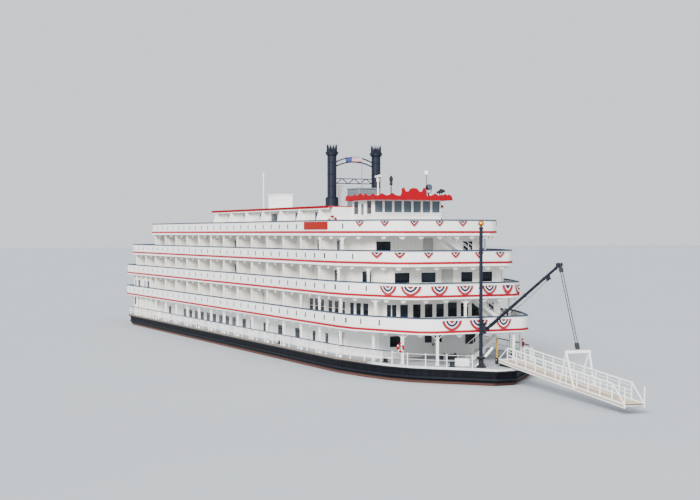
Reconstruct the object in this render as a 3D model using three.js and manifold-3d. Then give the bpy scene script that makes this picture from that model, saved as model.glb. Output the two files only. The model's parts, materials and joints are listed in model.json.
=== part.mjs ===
// Sternwheel paddle boat with five decks, built as a scale model at 1:10.
// Millimetres, +Z up, +X to the bow, +Y to port. The origin is on the flat bottom of the hull,
// on the centreline, amidships.
import * as THREE from "three";
import { mergeVertices } from "three/addons/utils/BufferGeometryUtils.js";
import Module from "manifold-3d";

const wasm = await Module();
wasm.setup();

// One metre of the real boat, in millimetres of the model.
const m = 100;
// Clearance between two pieces that touch on a slant, in millimetres.
const fit = 0.3;

const white = { color: 0xf3f1ec, roughness: 0.5, metalness: 0 };
const red = { color: 0xc4182c, roughness: 0.45, metalness: 0 };
const black = { color: 0x1c1d22, roughness: 0.55, metalness: 0 };
const navy = { color: 0x262c3c, roughness: 0.45, metalness: 0 };
const grey = { color: 0x8d9198, roughness: 0.6, metalness: 0 };
const steel = { color: 0x9b9b98, roughness: 0.4, metalness: 0.8 };

const boat = new THREE.Group();

// Shapes

function box(x0, x1, y0, y1, z0, z1) {
  const shape = new THREE.BoxGeometry(x1 - x0, y1 - y0, z1 - z0);
  return shape.translate((x0 + x1) / 2, (y0 + y1) / 2, (z0 + z1) / 2);
}

function outlineShape(points, holes = []) {
  const shape = new THREE.Shape(points.map(([x, y]) => new THREE.Vector2(x, y)));
  for (const hole of holes) {
    shape.holes.push(new THREE.Path(hole.map(([x, y]) => new THREE.Vector2(x, y))));
  }
  return shape;
}

// A plan outline raised from z0 to z1.
function prism(points, z0, z1, holes = []) {
  const options = { depth: z1 - z0, bevelEnabled: false };
  return new THREE.ExtrudeGeometry(outlineShape(points, holes), options).translate(0, 0, z0);
}

// A board cut to an outline of (along y, up) points, standing across the boat from x0 to x1.
function boardAcross(points, x0, x1) {
  const board = prism(points, 0, x1 - x0);
  return board.rotateX(Math.PI / 2).rotateZ(Math.PI / 2).translate(x0, 0, 0);
}

// A board cut to an outline of (along x, up) points, standing fore and aft from y0 to y1.
function boardAlong(points, y0, y1) {
  return prism(points, 0, y1 - y0).rotateX(Math.PI / 2).translate(0, y1, 0);
}

// A turned piece about the z axis. The profile's columns are radius and height.
function turned(profile, sides) {
  const points = profile.map(([radius, height]) => new THREE.Vector2(radius, height));
  return new THREE.LatheGeometry(points, sides).rotateX(Math.PI / 2);
}

function rod(radius, z0, z1, sides = 10) {
  return turned([[0, z0], [radius, z0], [radius, z1], [0, z1]], sides);
}

// A straight square bar between two points.
function bar(start, end, width) {
  const from = new THREE.Vector3(...start);
  const to = new THREE.Vector3(...end);
  const along = to.clone().sub(from);
  const piece = new THREE.BoxGeometry(width, width, along.length());
  const turn = new THREE.Quaternion().setFromUnitVectors(
    new THREE.Vector3(0, 0, 1), along.clone().normalize());
  piece.applyQuaternion(turn);
  return piece.translate((from.x + to.x) / 2, (from.y + to.y) / 2, (from.z + to.z) / 2);
}

// Joining and cutting

function toSolid(geometry) {
  const bare = geometry.clone();
  bare.deleteAttribute("normal");
  bare.deleteAttribute("uv");
  const merged = mergeVertices(bare, 1e-3);
  const corners = [];
  const index = merged.index.array;
  for (let i = 0; i < index.length; i += 3) {
    const [a, b, c] = [index[i], index[i + 1], index[i + 2]];
    if (a !== b && b !== c && c !== a) corners.push(a, b, c);
  }
  return new wasm.Manifold(new wasm.Mesh({
    numProp: 3,
    vertProperties: Float32Array.from(merged.attributes.position.array),
    triVerts: Uint32Array.from(corners),
  }));
}

function toGeometry(solid) {
  const mesh = solid.getMesh();
  const geometry = new THREE.BufferGeometry();
  geometry.setAttribute("position", new THREE.BufferAttribute(mesh.vertProperties, 3));
  geometry.setIndex(new THREE.BufferAttribute(mesh.triVerts, 1));
  geometry.computeVertexNormals();
  return geometry;
}

function join(pieces) {
  let solid = toSolid(pieces[0]);
  for (const piece of pieces.slice(1)) solid = solid.add(toSolid(piece));
  return toGeometry(solid);
}

function cut(body, tools) {
  let solid = toSolid(body);
  for (const tool of tools) solid = solid.subtract(toSolid(tool));
  return toGeometry(solid);
}

function add(name, geometry, finish, parent = boat) {
  const mesh = new THREE.Mesh(geometry, new THREE.MeshStandardMaterial(finish));
  mesh.name = name;
  parent.add(mesh);
  return mesh;
}

// Outlines

function mirrored(starboard) {
  const port = starboard.map(([x, y]) => [x, -y]).reverse();
  return [...starboard, ...port];
}

// Moves each side of a convex outline that runs anticlockwise inwards by a distance.
function inset(points, distance) {
  const count = points.length;
  const sides = points.map((point, i) => {
    const next = points[(i + 1) % count];
    const length = Math.hypot(next[0] - point[0], next[1] - point[1]);
    const along = [(next[0] - point[0]) / length, (next[1] - point[1]) / length];
    const base = [point[0] - along[1] * distance, point[1] + along[0] * distance];
    return { base, along };
  });
  return sides.map((side, i) => {
    const before = sides[(i + count - 1) % count];
    const cross = before.along[0] * side.along[1] - before.along[1] * side.along[0];
    const dx = side.base[0] - before.base[0];
    const dy = side.base[1] - before.base[1];
    const step = (dx * side.along[1] - dy * side.along[0]) / cross;
    return [before.base[0] + before.along[0] * step, before.base[1] + before.along[1] * step];
  });
}

// Hull: a flat-bottomed box with raked ends, a blunt stem and a square transom.

const hull = {
  aft: -40 * m,
  bowStart: 18 * m,
  stem: 38.2 * m,
  halfBeam: 7.8 * m,
  top: 3.2 * m,
};
const guardWidth = 0.2 * m;
const slabThickness = 0.2 * m;
const mainDeckTop = hull.top + slabThickness;

// Columns: x, half-breadth of the hull at the deck.
const bowPlan = [
  [18, 7.8], [24, 7.75], [28, 7.15], [31, 6.45], [33, 5.55], [34.6, 4.25], [36.3, 2.6], [38.2, 0.9],
].map(([x, half]) => [x * m, half * m]);

// Columns: height, how far the stem is set back, how far the transom is set forward,
// how far the sides are set in.
const hullLevels = [
  [0, 5, 6.4, 0.5],
  [0.5, 3, 5, 0.1],
  [1.4, 0.9, 2.6, 0],
  [2.5, 0.1, 0, 0],
  [3.2, 0, 0, 0],
].map((row) => row.map((value) => value * m));

function hullRing([z, stemBack, transomForward, sidesIn]) {
  const bowLength = hull.stem - hull.bowStart;
  const starboard = [[hull.aft + transomForward, -(hull.halfBeam - sidesIn)]];
  for (const [x, half] of bowPlan) {
    const reach = (x - hull.bowStart) * (bowLength - stemBack) / bowLength;
    const breadth = half * (hull.halfBeam - sidesIn) / hull.halfBeam;
    starboard.push([hull.bowStart + reach, -breadth]);
  }
  return mirrored(starboard).map(([x, y]) => [x, y, z]);
}

// Joins rings of the same number of points into one closed body.
function loft(rings) {
  const count = rings[0].length;
  const positions = rings.flat(2);
  const faces = [];
  for (let level = 0; level + 1 < rings.length; level += 1) {
    for (let i = 0; i < count; i += 1) {
      const next = (i + 1) % count;
      const low = level * count;
      const high = low + count;
      faces.push(low + i, low + next, high + next, low + i, high + next, high + i);
    }
  }
  const top = (rings.length - 1) * count;
  for (let i = 1; i + 1 < count; i += 1) {
    faces.push(0, i + 1, i);
    faces.push(top, top + i, top + i + 1);
  }
  const geometry = new THREE.BufferGeometry();
  geometry.setAttribute("position", new THREE.Float32BufferAttribute(positions, 3));
  geometry.setIndex(faces);
  geometry.computeVertexNormals();
  return geometry;
}

// Rudders hang under the raked stern on vertical stocks that turn in bores in the hull.
const rudder = {
  x: -38.6 * m, y: 3.4 * m, low: 0.25 * m, foreTop: 1.5 * m, aftTop: 1.85 * m,
  fore: 0.6 * m, aft: 1.5 * m, thickness: 0.12 * m,
  stockRadius: 0.1 * m, stockTop: 2.3 * m, boreGap: 0.006 * m,
};
const rudderBore = (y) => rod(rudder.stockRadius + rudder.boreGap, 0, rudder.stockTop + rudder.boreGap)
  .translate(rudder.x, y, 0);
add("hull", cut(loft(hullLevels.map(hullRing)), [rudderBore(-rudder.y), rudderBore(rudder.y)]), black);

const mainDeckPlan = inset(
  mirrored([[hull.aft, -hull.halfBeam], ...bowPlan.map(([x, half]) => [x, -half])]), -guardWidth);
add("main_deck", prism(mainDeckPlan, hull.top, mainDeckTop), grey);

// Decks. Columns: name, floor height, aft end, front edge, half-breadth at the front edge.
const decks = {
  deck_2: { floor: 6.1 * m, aft: -41 * m, front: 34 * m, frontHalf: 3.96 * m },
  deck_3: { floor: 8.76 * m, aft: -40.7 * m, front: 32.2 * m, frontHalf: 4.33 * m },
  deck_4: { floor: 11.34 * m, aft: -38.2 * m, front: 30.8 * m, frontHalf: 4.6 * m },
  deck_5: { floor: 13.85 * m, aft: -29.7 * m, front: 29 * m, frontHalf: 4.02 * m },
};
const texasRoofTop = 16.2 * m;

// The decks narrow towards the front in a curve. Columns: distance back from the front edge, share
// of the narrowing there.
const deckHalf = 8 * m;
const roundedFront = [[9.5, 0], [7, 0.065], [4.8, 0.26], [2.4, 0.516], [0.6, 0.742], [0, 1]];

function deckPlan({ aft, front, frontHalf }) {
  const side = roundedFront.map(([back, share]) => [
    front - back * m, -deckHalf + (deckHalf - frontHalf) * share]);
  return mirrored([[aft, -deckHalf], ...side]);
}

// Posts stand just inside the rails, at the same places on every deck, and closer together round the
// front. Those under the lowest deck follow the main deck's edge, because the bow is narrower.
const postWidth = 0.16 * m;
const postPitch = 4.1 * m;
const postInset = 0.28 * m;
const postSink = 0.05 * m;
const firstSidePost = 20.2 * m;
// Posts forward of the side posts, under each deck: x alone on the line inside the rail, or x and
// the distance from the centreline.
const frontPosts = {
  deck_2: [[24.3], [28.3, 6.5], [31.5, 5.5], [33.6, 3.5]],
  deck_3: [[24.3], [28.4]],
  deck_4: [[23.7], [27.15]],
  deck_5: [[23.3]],
};

function breadthAt(starboard, x) {
  const after = starboard.findIndex((point) => point[0] >= x);
  const [x0, y0] = starboard[after - 1];
  const [x1, y1] = starboard[after];
  return -(y0 + (y1 - y0) * (x - x0) / (x1 - x0));
}

// The starboard half of the line that the posts under a deck stand on.
function postLine(name) {
  const plan = name === "deck_2" ? mainDeckPlan : deckPlan(decks[name]);
  const line = inset(plan, postInset);
  return line.slice(0, line.length / 2);
}

function postPlaces(name) {
  const line = postLine(name);
  const places = frontPosts[name].map(([x, half]) => [
    x * m, half === undefined ? breadthAt(line, x * m) : half * m]);
  for (let x = firstSidePost; x > Math.max(line[0][0], decks[name].aft); x -= postPitch) {
    places.push([x, breadthAt(line, x)]);
  }
  return places.flatMap(([x, half]) => (half === 0 ? [[x, 0]] : [[x, -half], [x, half]]));
}

// Stairs run across the boat. Each has a well in the deck that it rises through.
const stairWidth = 0.9 * m;
const stairs = {
  stair_to_deck_2: { x: 30.4 * m, foot: 1.2 * m, head: 4.6 * m, from: mainDeckTop, to: 6.1 * m },
  stair_to_deck_3: { x: 30.4 * m, foot: 4.6 * m, head: 1.2 * m, from: 6.1 * m, to: 8.76 * m },
  stair_to_deck_5: { x: 27.2 * m, foot: 3.5 * m, head: -0.1 * m, from: 11.34 * m, to: 13.85 * m },
};
const wellMargin = 0.12 * m;

function stairWell({ x, foot, head, to }) {
  const near = Math.min(foot, head) - wellMargin;
  const far = Math.max(foot, head) - wellMargin;
  const reach = stairWidth / 2 + wellMargin;
  return box(x - reach, x + reach, near, far, to - slabThickness * 2, to + slabThickness);
}

const deckWells = {
  deck_2: [stairWell(stairs.stair_to_deck_2)],
  deck_3: [stairWell(stairs.stair_to_deck_3)],
  deck_4: [],
  deck_5: [stairWell(stairs.stair_to_deck_5)],
};

const deckBelow = { deck_2: mainDeckTop, deck_3: 6.1 * m, deck_4: 8.76 * m, deck_5: 11.34 * m };

for (const [name, deck] of Object.entries(decks)) {
  const underside = deck.floor - slabThickness;
  const slab = prism(deckPlan(deck), underside, deck.floor);
  const posts = postPlaces(name).map(([x, y]) => box(
    x - postWidth / 2, x + postWidth / 2, y - postWidth / 2, y + postWidth / 2,
    deckBelow[name], underside + postSink));
  add(name, cut(join([slab, ...posts]), deckWells[name]), white);
}

// A single post in the middle of the front carries the edge of deck 3.
const frontPostX = 31.9 * m;
add("front_post", box(frontPostX - postWidth / 2, frontPostX + postWidth / 2,
  -postWidth / 2, postWidth / 2, decks.deck_2.floor, decks.deck_3.floor - slabThickness), white);

// Rails: solid panels that stand on the edge of each upper deck.
const railHeight = 1.07 * m;
const railThickness = 0.1 * m;
const railInset = 0.02 * m;

function railRing(plan, floor) {
  const outer = inset(plan, railInset);
  return prism(outer, floor, floor + railHeight, [inset(plan, railInset + railThickness)]);
}

for (const [name, deck] of Object.entries(decks)) {
  add(name.replace("deck", "rail"), railRing(deckPlan(deck), deck.floor), white);
}

// The main deck has an open rail of two bars on posts. It stops short of the bow, where the landing
// stage swings.
const railBar = 0.07 * m;
const railPostPitch = 2.05 * m;
const mainRailEnd = 31.5 * m;
const bowClear = box(mainRailEnd, hull.stem + m, -9 * m, 9 * m, mainDeckTop - m, mainDeckTop + 3 * m);
const sternClear = box(hull.aft - m, hull.aft + 2 * m, -5.4 * m, 5.4 * m,
  mainDeckTop - m, mainDeckTop + 3 * m);
const railLine = inset(mainDeckPlan, railInset);
const railInner = inset(mainDeckPlan, railInset + railBar);
const mainRailPieces = [0.55 * m, railHeight].map((height) => prism(
  railLine, mainDeckTop + height - railBar, mainDeckTop + height, [railInner]));
const railStarboard = inset(mainDeckPlan, railInset + railBar / 2).slice(0, mainDeckPlan.length / 2);
for (let x = hull.aft + railPostPitch / 4; x < mainRailEnd - railBar; x += railPostPitch) {
  const half = breadthAt(railStarboard, x + railBar / 2);
  for (const y of [-half, half]) {
    mainRailPieces.push(box(x, x + railBar, y - railBar / 2, y + railBar / 2,
      mainDeckTop, mainDeckTop + railHeight - railBar / 2));
  }
}
const mainRail = cut(join(mainRailPieces), [bowClear, sternClear]);

function keepSide(geometry, side) {
  const near = side < 0 ? 0 : -9 * m;
  const away = box(hull.aft - m, hull.stem + m, near, near + 9 * m, 0, 10 * m);
  return cut(geometry, [away]);
}

add("main_rail_starboard", keepSide(mainRail, -1), white);
add("main_rail_port", keepSide(mainRail, 1), white);

// Deckhouses: walls round each cabin deck, with the large windows and the doors cut.
const wallThickness = 0.12 * m;
const houseHalf = 6.5 * m;
const houseFrontHalf = 5.1 * m;
const houseCorner = 5 * m;
const partitionThickness = 0.06 * m;

const houses = {
  house_main: { floor: mainDeckTop, ceiling: 5.9 * m, aft: -31.6 * m, front: 26.5 * m },
  house_2: { floor: 6.1 * m, ceiling: 8.56 * m, aft: -39.4 * m, front: 28.8 * m, wideTo: -31.6 * m },
  house_3: { floor: 8.76 * m, ceiling: 11.14 * m, aft: -37.6 * m, front: 29.1 * m },
  house_4: { floor: 11.34 * m, ceiling: 13.65 * m, aft: -29.2 * m, front: 25.7 * m },
};
// The aft end of the house on deck 2 is nearly as wide as the deck.
const wideHalf = 7.5 * m;

function housePlan({ aft, front, wideTo }) {
  const stern = wideTo === undefined
    ? [[aft, -houseHalf]]
    : [[aft, -wideHalf], [wideTo, -wideHalf], [wideTo, -houseHalf]];
  return mirrored([...stern, [front - houseCorner, -houseHalf], [front, -houseFrontHalf]]);
}

// Windows and doors in the front wall. Columns: middle y, width, sill, head above the floor.
const frontOpenings = {
  house_main: [[-3.6, 1, 0.9, 1.8], [3.6, 1, 0.9, 1.8], [0, 1.9, 0, 2.05]],
  house_2: [
    ...[-3.97, -2.79, -1.69, -0.62, 1.7, 2.75, 4.25].map((y) => [y, 0.72, 0.75, 1.8]),
    [0.55, 0.9, 0, 2.05],
  ],
  house_3: [[-4.3, 1.36, 0.97, 1.8], [-1.87, 1.34, 0.97, 1.8], [1.75, 1.1, 0.97, 1.8],
    [3.7, 1, 0.97, 1.8], [-0.1, 1.1, 0, 2.05]],
  house_4: [[-4.3, 1.36, 0.95, 1.75], [3.75, 1.05, 0.95, 1.75], [-0.05, 1, 0, 2.05]],
};

// The row of windows along both sides of the main house.
const mainWindows = { first: -21.85 * m, pitch: 2.07 * m, count: 9, width: 1.15 * m, sill: 0.8 * m,
  head: 1.65 * m };

// Balcony partitions stand behind the side posts, from the last x aft to the first x forward.
const partitionRuns = {
  house_2: { above: "deck_3", aft: -31 * m, forward: 13 * m },
  house_3: { above: "deck_4", aft: -37.4 * m, forward: 21 * m },
  house_4: { above: "deck_5", aft: -29 * m, forward: 21 * m },
};

function houseWindows(name) {
  const { floor, front } = houses[name];
  const cutters = frontOpenings[name].map(([y, width, sill, head]) => box(
    front - m, front + m, (y - width / 2) * m, (y + width / 2) * m,
    floor + sill * m - (sill === 0 ? m : 0), floor + head * m));
  for (let i = 0; i < (name === "house_main" ? mainWindows.count : 0); i += 1) {
    const x = mainWindows.first + i * mainWindows.pitch;
    cutters.push(box(x, x + mainWindows.width, -9 * m, 9 * m,
      floor + mainWindows.sill, floor + mainWindows.head));
  }
  return cutters;
}

function partitions(name) {
  const run = partitionRuns[name];
  const { floor, ceiling } = houses[name];
  const boards = [];
  if (!run) return boards;
  for (let x = firstSidePost; x > run.aft; x -= postPitch) {
    const outer = breadthAt(postLine(run.above), x) - postWidth / 2 - fit;
    for (const side of x < run.forward ? [-1, 1] : []) {
      const ends = [side * (houseHalf - wallThickness / 2), side * outer].sort((a, b) => a - b);
      boards.push(box(x - partitionThickness / 2, x + partitionThickness / 2, ends[0], ends[1],
        floor, ceiling));
    }
  }
  return boards;
}

for (const [name, house] of Object.entries(houses)) {
  const plan = housePlan(house);
  const walls = prism(plan, house.floor, house.ceiling, [inset(plan, wallThickness)]);
  add(name, join([cut(walls, houseWindows(name)), ...partitions(name)]), white);
}

// The engine house closes the aft end of the main deck, as wide as the house above it.
add("engine_house", box(houses.house_2.aft, houses.house_main.aft, -wideHalf, wideHalf,
  mainDeckTop, houses.house_main.ceiling), white);

// Two leaves close the doorway from the main house to the foredeck, hinged on their outer face.
const foredeckDoor = { half: 0.95 * m, head: 2.05 * m, thickness: 0.06 * m, gap: 0.02 * m };
for (const [side, way] of [["starboard", -1], ["port", 1]]) {
  const ends = [way * (foredeckDoor.half - fit), way * foredeckDoor.gap].sort((a, b) => a - b);
  const x = houses.house_main.front;
  add(`foredeck_door_${side}`, box(x - foredeckDoor.thickness, x, ends[0], ends[1],
    mainDeckTop + foredeckDoor.gap, mainDeckTop + foredeckDoor.head - foredeckDoor.gap), white);
}

// The upper house on deck 5, with its sloping aft end, and its roof.
const texas = {
  floor: 13.85 * m,
  ceiling: 16.1 * m,
  aft: -15.6 * m,
  aftTop: -13.4 * m,
  front: 17.6 * m,
  half: 5.3 * m,
  roofHalf: 5.8 * m,
};
const texasProfile = [
  [texas.aft, texas.floor], [texas.front, texas.floor],
  [texas.front, texas.ceiling], [texas.aftTop, texas.ceiling],
];
const texasInside = [
  [texas.aft + 1.5 * wallThickness, texas.floor - m], [texas.front - wallThickness, texas.floor - m],
  [texas.front - wallThickness, texas.ceiling + m], [texas.aftTop + 1.8 * wallThickness, texas.ceiling + m],
];
// Columns: x, width.
const texasWindows = [[-9.8, 0.8], [-5.1, 0.8], [-0.4, 0.75], [2.8, 1.7], [9, 0.8], [13.7, 0.8]]
  .map(([x, width]) => box(x * m, (x + width) * m, -9 * m, 9 * m,
    texas.floor + 0.85 * m, texas.floor + 1.85 * m));
// Fins beside the upper house, wider at the foot than under the roof.
const fin = { first: 15.75 * m, pitch: 4.7 * m, count: 7, top: 5.75 * m, foot: 6.5 * m };
const texasFins = [];
for (let i = 0; i < fin.count; i += 1) {
  const x = fin.first - i * fin.pitch;
  for (const side of [-1, 1]) {
    const inner = side * (texas.half - wallThickness / 2);
    const outline = [
      [inner, texas.floor], [side * fin.foot, texas.floor], [side * fin.top, texas.ceiling],
      [inner, texas.ceiling],
    ];
    texasFins.push(boardAcross(side > 0 ? outline : outline.reverse(), x, x + partitionThickness));
  }
}
add("house_5", join([
  cut(boardAlong(texasProfile, -texas.half, texas.half), [
    boardAlong(texasInside, -texas.half + wallThickness, texas.half - wallThickness),
    ...texasWindows,
  ]),
  ...texasFins,
]), white);
add("roof_5", box(texas.aftTop - 0.5 * m, texas.front, -texas.roofHalf, texas.roofHalf,
  texas.ceiling, texasRoofTop), red);

// Pilothouse: walls with windows all round, and a hinged door in each side.
const pilot = {
  floor: 13.85 * m,
  top: 16.7 * m,
  aft: 17.6 * m,
  front: 21.8 * m,
  half: 3.35 * m,
  sill: 15.6 * m,
  head: 16.6 * m,
};
const pilotDoor = { x: 19.3 * m, width: 0.8 * m, head: 16.45 * m, thickness: 0.06 * m };
const pilotWindowCount = 7;
const pilotWindowPitch = 0.94 * m;
const pilotWindowWidth = 0.7 * m;
const pilotCutters = [];
for (let i = 0; i < pilotWindowCount; i += 1) {
  const y = (i - (pilotWindowCount - 1) / 2) * pilotWindowPitch;
  pilotCutters.push(box(pilot.front - m, pilot.front + m,
    y - pilotWindowWidth / 2, y + pilotWindowWidth / 2, pilot.sill, pilot.head));
}
for (const x of [17.95 * m, 20.6 * m]) {
  pilotCutters.push(box(x, x + 0.9 * m, -9 * m, 9 * m, pilot.sill, pilot.head));
}
pilotCutters.push(box(pilotDoor.x, pilotDoor.x + pilotDoor.width, -9 * m, 9 * m,
  pilot.floor - m, pilotDoor.head));
const pilotPlan = mirrored([[pilot.aft, -pilot.half], [pilot.front, -pilot.half]]);
add("pilothouse", cut(
  prism(pilotPlan, pilot.floor, pilot.top, [inset(pilotPlan, wallThickness)]), pilotCutters), white);

// A door leaf stands in its opening with a running gap, and close to the jamb at its aft edge,
// where it is hinged on its outer face.
const doorGap = 0.02 * m;
for (const [side, y] of [["starboard", -pilot.half], ["port", pilot.half - pilotDoor.thickness]]) {
  const leaf = box(pilotDoor.x + fit, pilotDoor.x + pilotDoor.width - doorGap,
    y, y + pilotDoor.thickness, pilot.floor + doorGap, pilotDoor.head - doorGap);
  add(`pilothouse_door_${side}`, leaf, white);
}

// The crown roof of the pilothouse: a flat slab with a waved fascia on all four sides, lowest aft.
const crown = { aft: 17.05 * m, front: 23.05 * m, half: 3.8 * m, board: 0.1 * m };
const crownBase = pilot.top;
// Columns: distance from the middle, height of the board there.
const waveFront = [
  [3.8, 0.3], [3.45, 0.34], [3.1, 0.52], [2.75, 0.36], [2.45, 0.36], [2.1, 0.56], [1.75, 0.36],
  [1.3, 0.32], [1.17, 0.62], [1.2, 0.95], [0.95, 1.04], [0.86, 0.8], [0.72, 0.68], [0.5, 0.72],
  [0.36, 0.92], [0.16, 1],
];
const waveAft = [
  [3.8, 0.3], [3.1, 0.42], [2.5, 0.32], [1.8, 0.42], [1.2, 0.34], [0.6, 0.44], [0, 0.4],
];
const waveSide = [
  [3, 0.3], [2.5, 0.5], [2.1, 0.34], [1.5, 0.34], [1.1, 0.52], [0.75, 0.36], [0.4, 0.4], [0, 0.6],
];

function waveOutline(rows) {
  const right = rows.map(([at, height]) => [at * m, crownBase + height * m]);
  const left = right.filter(([at]) => at > 0).map(([at, height]) => [-at, height]).reverse();
  const end = rows[0][0] * m;
  return [[-end, crownBase], [end, crownBase], ...right, ...left];
}

function crownBoards() {
  const front = boardAcross(waveOutline(waveFront), crown.front - crown.board, crown.front);
  const aft = boardAcross(waveOutline(waveAft), crown.aft, crown.aft + crown.board);
  const middle = (crown.aft + crown.front) / 2;
  const starboard = boardAlong(waveOutline(waveSide), -crown.half, -crown.half + crown.board);
  const port = boardAlong(waveOutline(waveSide), crown.half - crown.board, crown.half);
  return [front, aft, starboard.translate(middle, 0, 0), port.translate(middle, 0, 0)];
}

add("pilothouse_roof", join([
  box(crown.aft, crown.front, -crown.half, crown.half, crownBase, crownBase + 0.15 * m),
  ...crownBoards(),
]), red);

// Chimneys with a collar and a crown of feathers, an arch and a lattice between them.
const stack = { x: 10.8 * m, y: 2.32 * m, radius: 0.44 * m, collar: 21.25 * m, feathers: 22.2 * m };
const featherCount = 10;

function stackGeometry() {
  const { radius, collar, feathers } = stack;
  const body = turned([
    [0, texasRoofTop], [0.62 * m, texasRoofTop], [0.62 * m, 17.1 * m], [radius, 17.1 * m],
    [radius, collar], [radius + 0.16 * m, collar], [radius + 0.16 * m, collar + 0.14 * m],
    [radius, collar + 0.14 * m], [radius, feathers - 0.6 * m], [0, feathers - 0.6 * m],
  ], 16);
  const spikes = [];
  for (let i = 0; i < featherCount; i += 1) {
    const spike = new THREE.ConeGeometry(0.17 * m, 0.95 * m, 4).rotateX(Math.PI / 2);
    spike.rotateY(0.16).translate(radius - 0.02 * m, 0, feathers - 0.42 * m);
    spikes.push(spike.rotateZ(i * 2 * Math.PI / featherCount));
  }
  return join([body, ...spikes]);
}

for (const [side, y] of [["starboard", -stack.y], ["port", stack.y]]) {
  add(`stack_${side}`, stackGeometry().translate(stack.x, y, 0), navy);
}

// An arc of the arch, between heights at its ends and its middle.
const archReach = stack.y - stack.radius - fit;
const archSteps = 10;
function arc(endHeight, middleHeight, depth) {
  const line = [];
  for (let i = 0; i <= archSteps; i += 1) {
    const part = i / archSteps * 2 - 1;
    line.push([part * archReach, endHeight + (middleHeight - endHeight) * (1 - part * part)]);
  }
  const lower = line.map(([y, z]) => [y, z - depth]);
  return boardAcross([...lower, ...line.reverse()], stack.x - 0.05 * m, stack.x + 0.05 * m);
}
const archPanel = { half: 0.85 * m, z0: 20.55 * m, z1: 21 * m };
add("stack_arch", join([
  arc(20.6 * m, 21.05 * m, 0.12 * m),
  arc(20.2 * m, 20.62 * m, 0.12 * m),
  box(stack.x - 0.04 * m, stack.x + 0.04 * m, -archPanel.half, archPanel.half,
    archPanel.z0, archPanel.z1),
]), navy);

const lattice = { low: 18.5 * m, high: 18.95 * m, bars: 6, thickness: 0.07 * m };
const latticeBars = [];
for (let i = 0; i < lattice.bars; i += 1) {
  const pitch = 2 * archReach / lattice.bars;
  const start = -archReach + i * pitch;
  const rise = i % 2 === 0 ? [lattice.low, lattice.high] : [lattice.high, lattice.low];
  const inner = 0.04 * m;
  latticeBars.push(bar([stack.x, start + inner, rise[0]], [stack.x, start + pitch - inner, rise[1]],
    lattice.thickness));
}
const chord = (z) => box(stack.x - 0.04 * m, stack.x + 0.04 * m, -archReach, archReach,
  z - 0.04 * m, z + 0.04 * m);
add("stack_lattice", join([chord(lattice.low), chord(lattice.high), ...latticeBars]), navy);

// Pieces on the roof. Columns: x0, x1, y0, y1, top, finish.
const roofBoxes = {
  louvre_box: [11.7, 14.1, -1.05, 1.05, 17.95, grey],
  vent_trunk: [9.3, 9.8, -1.25, -0.75, 18.4, white],
  roof_locker: [-9.5, -6.5, -0.8, 0.8, 17.95, white],
};
for (const [name, [x0, x1, y0, y1, top, finish]] of Object.entries(roofBoxes)) {
  add(name, box(x0 * m, x1 * m, y0 * m, y1 * m, texasRoofTop, top * m), finish);
}

const crownSlabTop = crownBase + 0.15 * m;
// Posts on the roofs. Columns: x, y, foot, head, radius of the post, radius of its head.
const roofPosts = {
  aerial_mast: [-13, 0, texasRoofTop / m, 20.5, 0.05, 0.09],
  radar_post: [18.4, -1.2, crownSlabTop / m, 18.7, 0.08, 0.14],
  lantern_post: [20.6, -1, crownSlabTop / m, 18.7, 0.05, 0.17],
  light_post: [20.3, 2.7, crownSlabTop / m, 19.25, 0.06, 0.16],
};
for (const [name, [x, y, foot, head, radius, knob]] of Object.entries(roofPosts)) {
  const post = turned([
    [0, foot * m], [radius * m, foot * m], [radius * m, (head - 0.3) * m],
    [knob * m, (head - 0.3) * m], [knob * m, head * m], [0, head * m],
  ], 8);
  add(name, post.translate(x * m, y * m, 0), name === "lantern_post" ? black : white);
}

// The radar scanner turns on its post. At rest its bar points a little off the fore-and-aft line.
const scannerFoot = 18.7 * m + fit;
const scannerTurn = -15 * Math.PI / 180;
add("radar_scanner", join([
  rod(0.12 * m, scannerFoot, scannerFoot + 0.12 * m),
  box(-1 * m, 1 * m, -0.12 * m, 0.12 * m, scannerFoot + 0.1 * m, scannerFoot + 0.28 * m),
]).rotateZ(scannerTurn).translate(18.4 * m, -1.2 * m, 0), white);

// Searchlight on the front of the pilothouse roof.
add("searchlight", join([
  rod(0.07 * m, crownSlabTop, 17.7 * m).translate(21.6 * m, 2.2 * m, 0),
  rod(0.26 * m, -0.25 * m, 0.25 * m, 12).rotateY(Math.PI / 2).translate(21.6 * m, 2.2 * m, 17.85 * m),
]), black);

for (const [name, stair] of Object.entries(stairs)) {
  const steps = 12;
  const rise = (stair.to - stair.from) / steps;
  const going = (stair.head - stair.foot) / steps;
  const thickness = 0.25 * m;
  const line = [[stair.foot, stair.from]];
  for (let i = 1; i < steps; i += 1) {
    line.push([stair.foot + (i - 1) * going, stair.from + i * rise]);
    line.push([stair.foot + i * going, stair.from + i * rise]);
  }
  line.push([stair.head - going, stair.to - rise - thickness]);
  line.push([stair.foot + Math.sign(going) * thickness, stair.from]);
  const outline = going > 0 ? line.reverse() : line;
  add(name, boardAcross(outline, stair.x - stairWidth / 2, stair.x + stairWidth / 2), white);
}

// Mast on the foredeck, with the two lugs that hold the gooseneck.
const mast = { x: 34.35 * m, radius: 0.14 * m, top: 14.3 * m };
const goose = { x: 34.85 * m, z: 6.3 * m, halfHeight: 0.3 * m, radius: 0.12 * m };
const lugHeight = 0.12 * m;
const lug = (z) => box(mast.x, goose.x + 0.14 * m, -0.14 * m, 0.14 * m, z, z + lugHeight);
add("mast", join([
  rod(mast.radius, mainDeckTop, mast.top, 12).translate(mast.x, 0, 0),
  lug(goose.z + goose.halfHeight + fit),
  lug(goose.z - goose.halfHeight - fit - lugHeight),
]), navy);
add("mast_ball", new THREE.SphereGeometry(0.24 * m, 12, 8)
  .translate(mast.x, 0, mast.top + 0.24 * m + fit), { color: 0xd58a2a, roughness: 0.4, metalness: 0.6 });

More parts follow.
